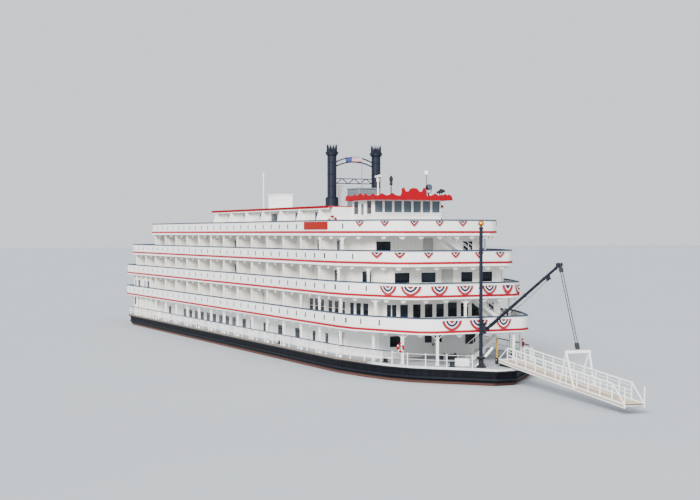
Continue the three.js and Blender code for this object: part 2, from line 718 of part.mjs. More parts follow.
// The landing stage lies ahead of the boat on a turntable, yawed and pitched down to the shore.
const heel = { x: 36.1 * m, y: 1.3 * m, radius: 0.55 * m, height: 0.12 * m };
const stage = {
  yaw: -6.8 * Math.PI / 180,
  pitch: 3.4 * Math.PI / 180,
  length: 19.3 * m,
  tail: 0.12 * m,
  half: 0.75 * m,
  depth: 0.3 * m,
  railHeight: 1.07 * m,
  bayLength: 1.6 * m,
  pivotHeight: 0.38 * m,
  pinRadius: 0.05 * m,
};
const heelTop = mainDeckTop + heel.height;
const frameAt = 11.5 * m;

const heelGroup = new THREE.Group();
heelGroup.position.set(heel.x, heel.y, heelTop);
heelGroup.rotation.z = stage.yaw;
boat.add(heelGroup);

add("stage_pedestal", rod(heel.radius, mainDeckTop, heelTop, 16).translate(heel.x, heel.y, 0), black);

// The turntable carries two cheeks with bores for the stage's pivot pin.
const table = { low: fit, high: 0.08 * m, cheekHalf: 0.2 * m, cheekThickness: 0.1 * m };
const cheekInner = stage.half + 0.05 * m;
const cheekOuter = cheekInner + table.cheekThickness;
const cheek = (y) => box(-table.cheekHalf, table.cheekHalf, y, y + table.cheekThickness,
  table.high / 2, stage.pivotHeight + 0.15 * m);
const pivotBore = rod(stage.pinRadius + fit, -cheekOuter - m, cheekOuter + m)
  .rotateX(Math.PI / 2).translate(0, 0, stage.pivotHeight);
add("stage_turntable", cut(join([
  rod(heel.radius - 0.05 * m, table.low, table.high, 16),
  box(-table.cheekHalf, table.cheekHalf, -cheekOuter, cheekOuter, table.high / 2, table.high),
  cheek(-cheekOuter),
  cheek(cheekInner),
]), [pivotBore]), black, heelGroup);

const stageGroup = new THREE.Group();
stageGroup.position.set(0, 0, stage.pivotHeight);
stageGroup.rotation.y = stage.pitch;
heelGroup.add(stageGroup);

// The walkway: a deck with side girders, posts, three rails a side and a sloped end.
const tube = 0.06 * m;
const deckLow = -0.2 * m;
const deckHigh = deckLow + stage.depth;
const stagePieces = [
  box(-stage.tail, stage.length, -stage.half, stage.half, deckLow + 0.1 * m, deckHigh - 0.1 * m),
  rod(stage.pinRadius, -cheekOuter, cheekOuter).rotateX(Math.PI / 2),
];
for (const side of [-1, 1]) {
  const y = side * (stage.half - tube / 2);
  const girder = [y - tube / 2, y + tube / 2];
  stagePieces.push(box(-stage.tail, stage.length, girder[0], girder[1], deckLow, deckHigh));
  for (const height of [0.55 * m, stage.railHeight]) {
    stagePieces.push(box(stage.bayLength, stage.length - stage.bayLength, girder[0], girder[1],
      deckHigh + height - tube, deckHigh + height));
  }
  for (let x = stage.bayLength; x < stage.length - tube; x += stage.bayLength) {
    stagePieces.push(box(x, x + tube, girder[0], girder[1], deckHigh - tube, deckHigh + stage.railHeight));
  }
  for (const [foot, head] of [[0.1 * m, stage.bayLength + tube], [stage.length - 0.1 * m,
    stage.length - stage.bayLength - tube]]) {
    stagePieces.push(bar([foot, y, deckHigh - tube / 2], [head, y, deckHigh + stage.railHeight - tube / 2],
      tube));
  }
}
add("landing_stage", join(stagePieces), white, stageGroup);

// Lifting frame: two inverted V legs and a bar across the walkway.
const frame = { spread: 1.05 * m, height: 2.2 * m, half: 0.9 * m, tube: 0.09 * m };
const frameLegs = [];
for (const side of [-1, 1]) {
  const foot = side * (stage.half + frame.tube / 2 + fit);
  const head = side * frame.half;
  for (const way of [-1, 1]) {
    frameLegs.push(bar([frameAt + way * frame.spread, foot, deckLow + 0.1 * m],
      [frameAt, head, deckHigh + frame.height], frame.tube));
  }
}
add("stage_lifting_frame", join([
  ...frameLegs,
  box(frameAt - 0.08 * m, frameAt + 0.08 * m, -frame.half - 0.08 * m, frame.half + 0.08 * m,
    deckHigh + frame.height - 0.08 * m, deckHigh + frame.height + 0.1 * m),
]), white, stageGroup);

// The boom on its gooseneck. It points at the middle of the lifting frame.
const frameX = heel.x + Math.cos(stage.yaw) * frameAt;
const frameY = heel.y + Math.sin(stage.yaw) * frameAt;
const boomYaw = Math.atan2(frameY, frameX - goose.x);
const boom = { heel: 0.42 * m, length: 11.4 * m, pitch: 27.4 * Math.PI / 180, rootRadius: 0.14 * m,
  tipRadius: 0.1 * m, tipCheek: 0.06 * m, tipHalf: 0.16 * m };

const gooseGroup = new THREE.Group();
gooseGroup.position.set(goose.x, 0, goose.z);
gooseGroup.rotation.z = boomYaw;
boat.add(gooseGroup);

const forkAt = 0.13 * m;
const forkPlate = (y) => box(0, boom.heel + 0.1 * m, y - 0.04 * m, y + 0.04 * m, -0.14 * m, 0.14 * m);
add("gooseneck", join([
  rod(goose.radius, -goose.halfHeight, goose.halfHeight),
  box(-0.04 * m, 0.16 * m, -forkAt, forkAt, -0.14 * m, 0.14 * m),
  forkPlate(-forkAt),
  forkPlate(forkAt),
]), navy, gooseGroup);

const boomGroup = new THREE.Group();
boomGroup.position.set(boom.heel, 0, 0);
boomGroup.rotation.y = -boom.pitch;
gooseGroup.add(boomGroup);

// Along the boom's own x axis from its pin to its tip.
const boomSpar = turned([
  [0, 0.45 * m], [boom.rootRadius, 0.45 * m], [boom.tipRadius, boom.length - 0.2 * m],
  [0, boom.length - 0.2 * m],
], 10).rotateY(Math.PI / 2);
const tipPlate = (y) => box(boom.length - 0.2 * m, boom.length + 0.12 * m, y, y + boom.tipCheek,
  -0.12 * m, 0.12 * m);
add("boom", join([
  boomSpar,
  box(-0.1 * m, 0.6 * m, -0.08 * m, 0.08 * m, -0.1 * m, 0.1 * m),
  box(9.4 * m, 9.8 * m, -0.06 * m, 0.06 * m, -0.35 * m, 0),
  box(boom.length - 0.3 * m, boom.length - 0.14 * m, -boom.tipHalf, boom.tipHalf, -0.12 * m, 0.12 * m),
  tipPlate(-boom.tipHalf),
  tipPlate(boom.tipHalf - boom.tipCheek),
]), navy, boomGroup);

// The fall hangs from the tip of the boom and ends in a hook block just over the lifting frame.
const tipReach = boom.length * Math.cos(boom.pitch) + boom.heel;
const tipHeight = goose.z + boom.length * Math.sin(boom.pitch);
const barTop = deckHigh + frame.height + 0.1 * m;
const barReach = frameAt * Math.cos(stage.pitch) + barTop * Math.sin(stage.pitch);
const barX = heel.x + Math.cos(stage.yaw) * barReach;
const barHeight = heelTop + stage.pivotHeight + barTop * Math.cos(stage.pitch)
  - frameAt * Math.sin(stage.pitch);
const fallForward = Math.hypot(barX - goose.x, frameY) - tipReach;
const fallDrop = tipHeight - barHeight;
const fallLean = Math.atan2(fallForward, fallDrop);
const fallLength = Math.hypot(fallForward, fallDrop);
const fallGroup = new THREE.Group();
fallGroup.position.set(tipReach, 0, tipHeight - goose.z);
fallGroup.rotation.y = -fallLean;
gooseGroup.add(fallGroup);

const block = { half: 0.14 * m, thickness: 0.18 * m, length: 0.45 * m, clear: 0.08 * m };
const headHalf = boom.tipHalf - boom.tipCheek - fit;
const fallEnd = -(fallLength - block.clear);
const rope = (y) => box(-0.02 * m, 0.02 * m, y - 0.02 * m, y + 0.02 * m, fallEnd + block.length / 2,
  -0.4 * m);
add("hoist_fall", join([
  rod(0.1 * m, -headHalf, headHalf).rotateX(Math.PI / 2),
  box(-0.06 * m, 0.06 * m, -headHalf, headHalf, -0.3 * m, 0),
  box(-0.08 * m, 0.08 * m, -block.half, block.half, -0.55 * m, -0.25 * m),
  rope(-0.09 * m),
  rope(0.09 * m),
  box(-block.thickness / 2, block.thickness / 2, -block.half, block.half,
    fallEnd, fallEnd + block.length),
]), black, fallGroup);

// Paddle wheel: three spiders with two rings each, and boards across them, on one shaft.
const wheel = {
  x: -45.6 * m, z: 5.1 * m, radius: 4.2 * m, half: 4.4 * m, shaftRadius: 0.28 * m,
  spokes: 14, boardDepth: 0.75 * m, boardThickness: 0.08 * m, ringDepth: 0.18 * m,
  spokeWidth: 0.18 * m, spiderThickness: 0.14 * m, hubRadius: 0.62 * m, hubHalf: 0.16 * m,
};
const spiderPlaces = [-wheel.half + 0.25 * m, 0, wheel.half - 0.25 * m];
const rimRadius = wheel.radius - 0.12 * m;
const innerRingRadius = rimRadius - wheel.boardDepth - 0.55 * m;

// A point beside a spoke: distance out from the shaft, and to the side of the spoke's middle.
function besideSpoke(spoke, out, aside) {
  const angle = spoke * 2 * Math.PI / wheel.spokes;
  const [c, s] = [Math.cos(angle), Math.sin(angle)];
  return [out * c - aside * s, out * s + aside * c];
}

// The gap between a spoke and the next, from one distance out to another.
function spokeGap(spoke, inner, outer) {
  const aside = wheel.spokeWidth / 2;
  return [
    besideSpoke(spoke, inner, aside), besideSpoke(spoke, outer, aside),
    besideSpoke(spoke + 1, outer, -aside), besideSpoke(spoke + 1, inner, -aside),
  ];
}

function spider(y) {
  const rim = [];
  const gaps = [];
  for (let i = 0; i < wheel.spokes; i += 1) {
    rim.push(besideSpoke(i, rimRadius, 0));
    gaps.push(spokeGap(i, innerRingRadius, rimRadius - wheel.ringDepth));
    gaps.push(spokeGap(i, wheel.hubRadius, innerRingRadius - wheel.ringDepth));
  }
  const half = wheel.spiderThickness / 2;
  return prism(rim, -half, half, gaps).rotateX(Math.PI / 2).translate(0, y, 0);
}

const wheelPieces = [rod(wheel.shaftRadius, -wheel.half, wheel.half, 12).rotateX(Math.PI / 2)];
for (const y of spiderPlaces) {
  wheelPieces.push(spider(y));
  const hub = rod(wheel.hubRadius - 0.1 * m, -wheel.hubHalf, wheel.hubHalf, wheel.spokes);
  wheelPieces.push(hub.rotateX(Math.PI / 2).translate(0, y, 0));
}
for (let i = 0; i < wheel.spokes; i += 1) {
  const board = box(wheel.radius - wheel.boardDepth, wheel.radius, -wheel.half, wheel.half,
    0, wheel.boardThickness);
  wheelPieces.push(board.rotateY(i * 2 * Math.PI / wheel.spokes));
}
add("paddle_wheel", join(wheelPieces).translate(wheel.x, 0, wheel.z), red);

const journal = { half: 5.25 * m, radius: 0.2 * m };
for (const [side, way] of [["starboard", -1], ["port", 1]]) {
  const ends = [way * (wheel.half + fit), way * journal.half].sort((a, b) => a - b);
  add(`wheel_shaft_${side}`, rod(journal.radius, ends[0], ends[1], 12).rotateX(Math.PI / 2)
    .translate(wheel.x, 0, wheel.z), steel);
}

// Wheel arms: timbers from the transom to the pillow blocks, one on each side of the wheel.
const arm = {
  inner: 4.7 * m, outer: 5.1 * m, boreGap: 0.008 * m, deckEdge: hull.aft - guardWidth - 0.05 * m,
};
const armProfile = [
  [hull.aft, 2.6 * m], [hull.aft, hull.top], [arm.deckEdge, hull.top], [arm.deckEdge, 3.7 * m],
  [wheel.x + 0.9 * m, 5.5 * m],
  [wheel.x + 0.5 * m, 5.8 * m], [wheel.x - 0.5 * m, 5.8 * m], [wheel.x - 0.5 * m, 4.6 * m],
].reverse();
for (const [side, way] of [["starboard", -1], ["port", 1]]) {
  const ends = [way * arm.inner, way * arm.outer].sort((a, b) => a - b);
  const bore = rod(journal.radius + arm.boreGap, -9 * m, 9 * m, 12).rotateX(Math.PI / 2);
  const timberPiece = boardAlong(armProfile, ends[0], ends[1]);
  add(`wheel_arm_${side}`, cut(timberPiece, [bore.translate(wheel.x, 0, wheel.z)]), red);
}

for (const [side, y] of [["starboard", -rudder.y], ["port", rudder.y]]) {
  const blade = boardAlong([
    [-rudder.aft, rudder.low], [rudder.fore, rudder.low], [rudder.fore, rudder.foreTop],
    [-rudder.aft, rudder.aftTop],
  ], -rudder.thickness / 2, rudder.thickness / 2);
  const stock = rod(rudder.stockRadius, rudder.low + rudder.thickness, rudder.stockTop);
  add(`rudder_${side}`, join([blade, stock]).translate(rudder.x, y, 0), black);
}

// Capstan on the foredeck and flagstaff at the stern.
add("capstan", turned([
  [0, mainDeckTop], [0.4 * m, mainDeckTop], [0.4 * m, mainDeckTop + 0.1 * m],
  [0.2 * m, mainDeckTop + 0.25 * m], [0.2 * m, mainDeckTop + 0.6 * m],
  [0.36 * m, mainDeckTop + 0.75 * m], [0.36 * m, mainDeckTop + 0.85 * m], [0, mainDeckTop + 0.85 * m],
], 14).translate(36.4 * m, -1.2 * m, 0), grey);
add("flagstaff", rod(0.05 * m, decks.deck_3.floor, decks.deck_3.floor + 3.2 * m, 8)
  .translate(-40.3 * m, 0, 0), white);

export default boat;
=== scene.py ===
import json
import math

import bmesh
import bpy
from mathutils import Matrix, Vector

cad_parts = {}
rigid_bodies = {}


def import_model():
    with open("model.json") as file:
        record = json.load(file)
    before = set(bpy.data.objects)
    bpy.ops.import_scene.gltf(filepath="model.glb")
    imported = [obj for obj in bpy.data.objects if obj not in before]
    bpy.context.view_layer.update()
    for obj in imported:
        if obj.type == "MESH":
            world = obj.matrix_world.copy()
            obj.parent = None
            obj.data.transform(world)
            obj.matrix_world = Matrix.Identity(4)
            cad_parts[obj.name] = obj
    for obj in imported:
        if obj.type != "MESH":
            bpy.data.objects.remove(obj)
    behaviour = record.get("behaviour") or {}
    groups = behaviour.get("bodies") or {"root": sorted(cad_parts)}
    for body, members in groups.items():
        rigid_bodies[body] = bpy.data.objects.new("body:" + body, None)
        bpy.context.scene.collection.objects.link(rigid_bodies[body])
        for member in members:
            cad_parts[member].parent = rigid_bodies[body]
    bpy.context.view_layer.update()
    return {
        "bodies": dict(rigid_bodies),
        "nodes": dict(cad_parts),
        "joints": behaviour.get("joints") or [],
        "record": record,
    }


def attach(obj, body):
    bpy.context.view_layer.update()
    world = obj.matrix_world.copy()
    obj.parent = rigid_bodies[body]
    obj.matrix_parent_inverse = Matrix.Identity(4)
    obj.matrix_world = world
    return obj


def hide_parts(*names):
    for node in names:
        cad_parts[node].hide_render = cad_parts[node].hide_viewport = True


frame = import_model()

# A sternwheel paddle boat as a 1:10 model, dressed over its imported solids. The scene is in model
# metres, +X to the bow, +Y to port, +Z up. Sizes here are those of the real boat in metres, and
# piece() brings them to the model's scale.
nodes = frame["nodes"]

# Studio. The camera stands off the starboard bow, as high as the floor of deck 5, and looks aft along
# the side, almost level. The floor is a plain pale sheet at the waterline, so the hull passes through
# it.
waterline = 0.21
look = Vector((-0.9063, 0.4226, -0.0131))
camera_data = bpy.data.cameras.new("camera")
camera_data.sensor_width = 36
camera_data.lens = 66.86
camera_data.clip_end = 400
camera = bpy.data.objects.new("camera", camera_data)
camera.location = (12.30, -5.275, 1.38)
camera.rotation_euler = look.to_track_quat("-Z", "Y").to_euler()
bpy.context.collection.objects.link(camera)
bpy.context.scene.camera = camera


def linear(colour):
    """An sRGB hex value as the linear colour that a socket takes."""
    channels = [int(colour[i:i + 2], 16) / 255 for i in (1, 3, 5)]
    return [c / 12.92 if c <= 0.04045 else ((c + 0.055) / 1.055) ** 2.4 for c in channels] + [1]


def add_node(tree, kind, inputs=(), **settings):
    """Adds a shader node with its settings. Each input is a value, or the socket that feeds it."""
    made = tree.nodes.new(kind)
    for name, value in settings.items():
        setattr(made, name, value)
    for key, value in dict(inputs).items():
        if isinstance(value, bpy.types.NodeSocket):
            tree.links.new(value, made.inputs[key])
        else:
            made.inputs[key].default_value = value
    return made


def new_finish(name):
    """An empty material, its tree, its surface and its place on the model in metres."""
    finish = bpy.data.materials.new(name)
    finish.use_nodes = True
    tree = finish.node_tree
    place = add_node(tree, "ShaderNodeTexCoord").outputs["Object"]
    return finish, tree, tree.nodes["Principled BSDF"].inputs, place


def scale_of(millimetres):
    """The scale of a pattern with patches this wide on the model."""
    return 1000 / millimetres


# Smooth pale studio sheet, matt, with the faintest unevenness in its tone.
floor_finish, tree, surface, place = new_finish("matt studio sheet")
tone = add_node(tree, "ShaderNodeTexNoise", {"Vector": place, "Scale": scale_of(2500), "Detail": 2})
mixed = add_node(tree, "ShaderNodeMix", {
    0: tone.outputs["Fac"], 6: linear("#a4a9ad"), 7: linear("#abafb2")}, data_type="RGBA")
tree.links.new(mixed.outputs[2], surface["Base Color"])
surface["Roughness"].default_value = 0.9
floor_mesh = bpy.data.meshes.new("studio_floor")
floor_mesh.from_pydata(
    [(-90, -90, waterline), (90, -90, waterline), (90, 90, waterline), (-90, 90, waterline)],
    [], [(0, 1, 2, 3)])
floor_mesh.materials.append(floor_finish)
floor = bpy.data.objects.new("studio_floor", floor_mesh)
bpy.context.collection.objects.link(floor)

world = bpy.data.worlds.new("studio")
world.use_nodes = True
world.node_tree.nodes["Background"].inputs["Color"].default_value = linear("#e6edf4")
world.node_tree.nodes["Background"].inputs["Strength"].default_value = 1.3
bpy.context.scene.world = world


def lamp(name, kind, place, towards, energy, size):
    """A soft lamp that looks from its place to another."""
    data = bpy.data.lights.new(name, kind)
    data.energy = energy
    if kind == "SUN":
        data.angle = size
    else:
        data.size = size
    made = bpy.data.objects.new(name, data)
    made.location = place
    made.rotation_euler = (Vector(towards) - Vector(place)).to_track_quat("-Z", "Y").to_euler()
    bpy.context.collection.objects.link(made)


lamp("key_light", "SUN", (11, -11, 10.5), (0, 0, 0.8), 7.2, math.radians(25))
lamp("fill_light", "AREA", (16, 2, 6), (2, 0, 0.8), 420, 7)

# Hull. A flat-bottomed steel barge, welded from plates about 6 m long and painted satin black, with
# a rubbing strake along each side and red-brown silt dried on above the water.
# A shape of this boat is its points in the boat's metres, its faces and its finish, and one of those
# metres is 0.1 m of the model.
real = 0.1


def mirrored(shapes):
    """The shapes and their images on the port side."""
    port = [([(x, -y, z) for x, y, z in points], [face[::-1] for face in faces], finish)
            for points, faces, finish in shapes]
    return list(shapes) + port


def piece(name, shapes, finishes, body="boat", closed=True):
    """Joins shapes into one mesh at the model's scale and hangs it on a body of the frame."""
    mesh = bpy.data.meshes.new(name)
    points, faces, wears = [], [], []
    for shape_points, shape_faces, finish in shapes:
        first = len(points)
        points += [[c * real for c in point] for point in shape_points]
        faces += [[first + i for i in face] for face in shape_faces]
        wears += list(finish) if isinstance(finish, (list, tuple)) else [finish] * len(shape_faces)
    mesh.from_pydata(points, [], faces)
    for finish in finishes:
        mesh.materials.append(finish)
    mesh.polygons.foreach_set("material_index", wears)
    if closed:
        shell = bmesh.new()
        shell.from_mesh(mesh)
        bmesh.ops.recalc_face_normals(shell, faces=shell.faces[:])
        shell.to_mesh(mesh)
        shell.free()
    mesh.shade_smooth()
    mesh.set_sharp_from_angle(angle=math.radians(35))
    made = bpy.data.objects.new(name, mesh)
    bpy.context.collection.objects.link(made)
    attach(made, body)
    return made


def wear(finish, *names):
    """Gives CAD nodes a finish."""
    for name in names:
        nodes[name].data.materials.clear()
        nodes[name].data.materials.append(finish)


def upright_lines(tree, place, pitch, width):
    """Lines that run up a surface, a pitch apart: 1 on a line and 0 between. In model metres."""
    parts = add_node(tree, "ShaderNodeSeparateXYZ", {0: place})
    along = add_node(tree, "ShaderNodeMath", {0: parts.outputs["X"], 1: parts.outputs["Y"]},
                     operation="ADD")
    swing = add_node(tree, "ShaderNodeMath", {0: along.outputs[0], 1: pitch / 2},
                     operation="PINGPONG")
    line = add_node(tree, "ShaderNodeMapRange", {
        0: swing.outputs[0], 1: width * 0.3, 2: width, 3: 1.0, 4: 0.0})
    return line.outputs[0]


def rain_streaks(tree, place, width, most):
    """Runs of dirt down a surface, so many millimetres apart on the model, from 0 to most."""
    drawn = add_node(tree, "ShaderNodeMapping", {"Vector": place, "Scale": (1, 1, 0.05)})
    runs = add_node(tree, "ShaderNodeTexNoise", {"Vector": drawn.outputs[0], "Scale": scale_of(width),
                                                 "Detail": 3, "Roughness": 0.6})
    kept = add_node(tree, "ShaderNodeMapRange", {0: runs.outputs["Fac"], 1: 0.5, 2: 0.8, 4: most})
    return kept.outputs[0]


def height_band(tree, place, low, high, soft):
    """1 between two heights in model metres and 0 outside them, with soft edges."""
    up = add_node(tree, "ShaderNodeSeparateXYZ", {0: place}).outputs["Z"]
    over = add_node(tree, "ShaderNodeMapRange", {0: up, 1: low - soft, 2: low})
    under = add_node(tree, "ShaderNodeMapRange", {0: up, 1: high, 2: high + soft, 3: 1.0, 4: 0.0})
    return add_node(tree, "ShaderNodeMath", {0: over.outputs[0], 1: under.outputs[0]},
                    operation="MULTIPLY").outputs[0]


def blend_colours(tree, factor, first, second):
    """Mixes two colours, each a hex value or a socket."""
    first, second = [linear(c) if isinstance(c, str) else c for c in (first, second)]
    return add_node(tree, "ShaderNodeMix", {0: factor, 6: first, 7: second},
                    data_type="RGBA").outputs[2]


def faces_up(tree, least=0.8, most=0.9):
    """1 on faces that look up and 0 on the rest. With negative limits it finds those that look down."""
    normal = add_node(tree, "ShaderNodeNewGeometry").outputs["Normal"]
    upward = add_node(tree, "ShaderNodeSeparateXYZ", {0: normal}).outputs["Z"]
    return add_node(tree, "ShaderNodeMapRange", {0: upward, 1: least, 2: most}).outputs[0]


def raise_surface(tree, surface, height, strength, distance):
    """Raises a pattern on a finish by so many model metres."""
    made = add_node(tree, "ShaderNodeBump", {"Height": height, "Strength": strength,
                                             "Distance": distance})
    tree.links.new(made.outputs[0], surface["Normal"])


# Satin chlorinated-rubber paint on rolled plate: near black with a cold cast, wiped paler by fenders
# and rain, brown at the water, and raised a little at the welds between plates.
hull_paint, tree, surface, place = new_finish("satin black hull paint")
scuffs = add_node(tree, "ShaderNodeTexNoise", {
    "Vector": add_node(tree, "ShaderNodeMapping", {"Vector": place, "Scale": (0.3, 0.3, 2)}).outputs[0],
    "Scale": scale_of(111), "Detail": 6, "Roughness": 0.65})
rubbed = add_node(tree, "ShaderNodeMapRange", {0: scuffs.outputs["Fac"], 1: 0.55, 2: 0.85, 4: 0.5})
tone = blend_colours(tree, rubbed.outputs[0], "#08090f", "#171b25")
tone = blend_colours(tree, rain_streaks(tree, place, 29.4, 0.3), tone, "#2a2e37")
silt = height_band(tree, place, 0.2, 0.226, 0.01)
tone = blend_colours(tree, silt, tone, "#553a33")
tree.links.new(tone, surface["Base Color"])
surface["Roughness"].default_value = 0.65
surface["Specular IOR Level"].default_value = 0.12
raise_surface(tree, surface, upright_lines(tree, place, 0.6, 0.004), 0.25, 0.002)

# Non-slip deck paint: grey, matt and gritty, darker where feet have worn it. The slab's edge is
# in the hull's black. The grit is as coarse as on the real boat, since a tenth of it wouldn't show.
deck_paint, tree, surface, place = new_finish("gritty grey deck paint")
trodden = add_node(tree, "ShaderNodeTexNoise", {"Vector": place, "Scale": scale_of(200), "Detail": 5})
grit = add_node(tree, "ShaderNodeTexNoise", {"Vector": place, "Scale": scale_of(1.43), "Detail": 1})
tone = blend_colours(tree, trodden.outputs["Fac"], "#8b9096", "#a7a9aa")
tone = blend_colours(tree, faces_up(tree), "#15171e", tone)
tree.links.new(tone, surface["Base Color"])
surface["Roughness"].default_value = 0.8
raise_surface(tree, surface, grit.outputs["Fac"], 0.3, 0.0006)

wear(hull_paint, "hull", "rudder_starboard", "rudder_port")
wear(deck_paint, "main_deck")


class Edge:
    """A line seen from above, with the way inwards, on its left, at each point along it."""

    def __init__(self, points):
        self.points = [Vector(p) for p in points]
        sides = []
        for a, b in zip(self.points, self.points[1:]):
            along = (b - a).normalized()
            sides.append(Vector((-along.y, along.x)))
        self.inwards = [sides[0]]
        for a, b in zip(sides, sides[1:]):
            self.inwards.append((a + b) / (1 + a.dot(b)))
        self.inwards.append(sides[-1])
        self.reached = [0.0]
        for a, b in zip(self.points, self.points[1:]):
            self.reached.append(self.reached[-1] + (b - a).length)
        self.length = self.reached[-1]

    def at(self, distance):
        """The point this far along, and the step inwards there."""
        i = 0
        while i < len(self.points) - 2 and distance > self.reached[i + 1]:
            i += 1
        part = (distance - self.reached[i]) / (self.reached[i + 1] - self.reached[i])
        return (self.points[i].lerp(self.points[i + 1], part),
                self.inwards[i].lerp(self.inwards[i + 1], part))

    def moved(self, distance):
        """The same line, this far inwards."""
        return Edge([p + step * distance for p, step in zip(self.points, self.inwards)])

    def reach(self, x):
        """How far along the side the line comes to this x."""
        for i in range(1, len(self.points) - 1):
            a, b = self.points[i], self.points[i + 1]
            if a.x <= x <= b.x:
                return self.reached[i] + (b - a).length * (x - a.x) / max(b.x - a.x, 1e-6)
        return self.length

    def marks(self, start, end):
        """The distances from start to end at which a strip needs a section."""
        return [start] + [r for r in self.reached if start + 0.001 < r < end - 0.001] + [end]


def skin(points, sides, finish):
    """A closed skin over rings of points, each ring with so many sides."""
    faces = []
    for first in range(0, len(points) - sides, sides):
        for j in range(sides):
            k = (j + 1) % sides
            faces.append((first + j, first + k, first + sides + k, first + sides + j))
    last = len(points) - sides
    faces += [tuple(range(sides))[::-1], tuple(range(last, last + sides))]
    return points, faces, finish


def strip(edge, marks, outer, inner, low, high, finish=0):
    """A closed strip along an edge, from outer to inner and from low to high at each mark. Either
    height may be a function of the distance along."""
    points = []
    for s in marks:
        place, step = edge.at(s)
        bottom = low(s) if callable(low) else low
        head = high(s) if callable(high) else high
        for out, z in ((outer, bottom), (inner, bottom), (inner, head), (outer, head)):
            points.append((place.x + step.x * out, place.y + step.y * out, z))
    return skin(points, 4, finish)


hull_plan = [(-40, 0), (-40, -7.8), (18, -7.8), (24, -7.75), (28, -7.15), (31, -6.45), (33, -5.55),
             (34.6, -4.25), (36.3, -2.6), (38.2, -0.9), (38.2, 0)]
hull_edge = Edge(hull_plan)
guard_edge = hull_edge.moved(-0.2)

# The rubbing strake is a half-round steel bar in the hull's black, rubbed matt by fenders.
worn_strake, tree, surface, place = new_finish("rubbed black strake")
rub = add_node(tree, "ShaderNodeTexNoise", {"Vector": place, "Scale": scale_of(33.3), "Detail": 5})
tone = blend_colours(tree, rub.outputs["Fac"], "#0a0c11", "#1b2028")
tree.links.new(tone, surface["Base Color"])
surface["Roughness"].default_value = 0.6
surface["Specular IOR Level"].default_value = 0.15
# Guard along the deck's edge: bare oak gone grey-brown beside the house, and steel under chalky
# white paint with brown weeps round the bow.
guard_paint, tree, surface, place = new_finish("weathered oak and painted steel guard")
grain = add_node(tree, "ShaderNodeTexNoise", {
    "Vector": add_node(tree, "ShaderNodeMapping", {"Vector": place, "Scale": (0.2, 0.2, 4)}).outputs[0],
    "Scale": scale_of(25), "Detail": 5})
oak = blend_colours(tree, grain.outputs["Fac"], "#5b5048", "#8a7d70")
painted = blend_colours(tree, rain_streaks(tree, place, 20, 0.7), "#cfcfcb", "#8d8276")
forward = add_node(tree, "ShaderNodeMapRange", {
    0: add_node(tree, "ShaderNodeSeparateXYZ", {0: place}).outputs["X"], 1: 2.85, 2: 2.95})
tone = blend_colours(tree, forward.outputs[0], oak, painted)
tree.links.new(tone, surface["Base Color"])
surface["Roughness"].default_value = 0.6
strake_low = 2.52
piece("rubbing_strake", mirrored([
    strip(hull_edge, hull_edge.marks(1.5, hull_edge.length), -0.09, 0.03, strake_low,
          strake_low + 0.14),
]), [worn_strake])
piece("deck_edge_guard", mirrored([
    strip(guard_edge, guard_edge.marks(0.5, guard_edge.length), -0.02, 0.05, 3.28, 3.45),
    strip(hull_edge, hull_edge.marks(0.5, hull_edge.length), -0.06, 0.03, 3.08, 3.2, 1),
]), [guard_paint, worn_strake])


# Decks. Steel slabs in white enamel on square posts, with a grey walking surface, a red moulding
# round the foot of the rail, and a valance with half-round lobes and a bracket each side of a post.
# Gloss enamel on steel and timber: clean warm white, chalked in soft patches, streaked by rain. Its
# orange peel is at its real size too, like the grit of the deck paint.
def enamel(name, colour, chalk, streak, roughness, streaking, gloss=0.5):
    finish, tree, surface, place = new_finish(name)
    surface["Specular IOR Level"].default_value = gloss
    patches = add_node(tree, "ShaderNodeTexNoise", {"Vector": place, "Scale": scale_of(385), "Detail": 5})
    tone = blend_colours(tree, patches.outputs["Fac"], colour, chalk)
    tone = blend_colours(tree, rain_streaks(tree, place, 18.2, streaking), tone, streak)
    sheen = add_node(tree, "ShaderNodeMapRange", {
        0: patches.outputs["Fac"], 3: roughness - 0.06, 4: roughness + 0.1})
    tree.links.new(tone, surface["Base Color"])
    tree.links.new(sheen.outputs[0], surface["Roughness"])
    peel = add_node(tree, "ShaderNodeTexNoise", {"Vector": place, "Scale": scale_of(2.38), "Detail": 1})
    raise_surface(tree, surface, peel.outputs["Fac"], 0.12, 0.0004)
    return finish


white_enamel = enamel("white gloss enamel", "#f7f6f3", "#f0eeea", "#d2cdc4", 0.4, 0.18)
red_enamel = enamel("red gloss enamel", "#9e0018", "#900016", "#6c0512", 0.6, 0.15, 0.08)
# The same red on the mouldings, faded paler by the sun.
faded_red = enamel("sun-faded red moulding", "#a2001e", "#94001a", "#780c1c", 0.5, 0.1, 0.2)
# Hardwood handrail under slate-blue paint, worn smooth.
rail_blue = enamel("slate blue handrail paint", "#26344a", "#303e54", "#1c2634", 0.5, 0.15, 0.25)
# The mast's and the chimneys' paint on rolled steel: nearly black, with a blue cast and soft shine.
navy_enamel = enamel("dark navy enamel", "#0c1120", "#121828", "#080b14", 0.45, 0.2, 0.25)
# Stoved enamel on castings and fittings, and a paler grey on sheet steel, chalked by the sun.
black_enamel = enamel("satin black enamel", "#141618", "#1d1f22", "#2c2e31", 0.5, 0.2, 0.3)
grey_enamel = enamel("mid grey enamel", "#6b737b", "#787f86", "#545a60", 0.5, 0.35, 0.3)

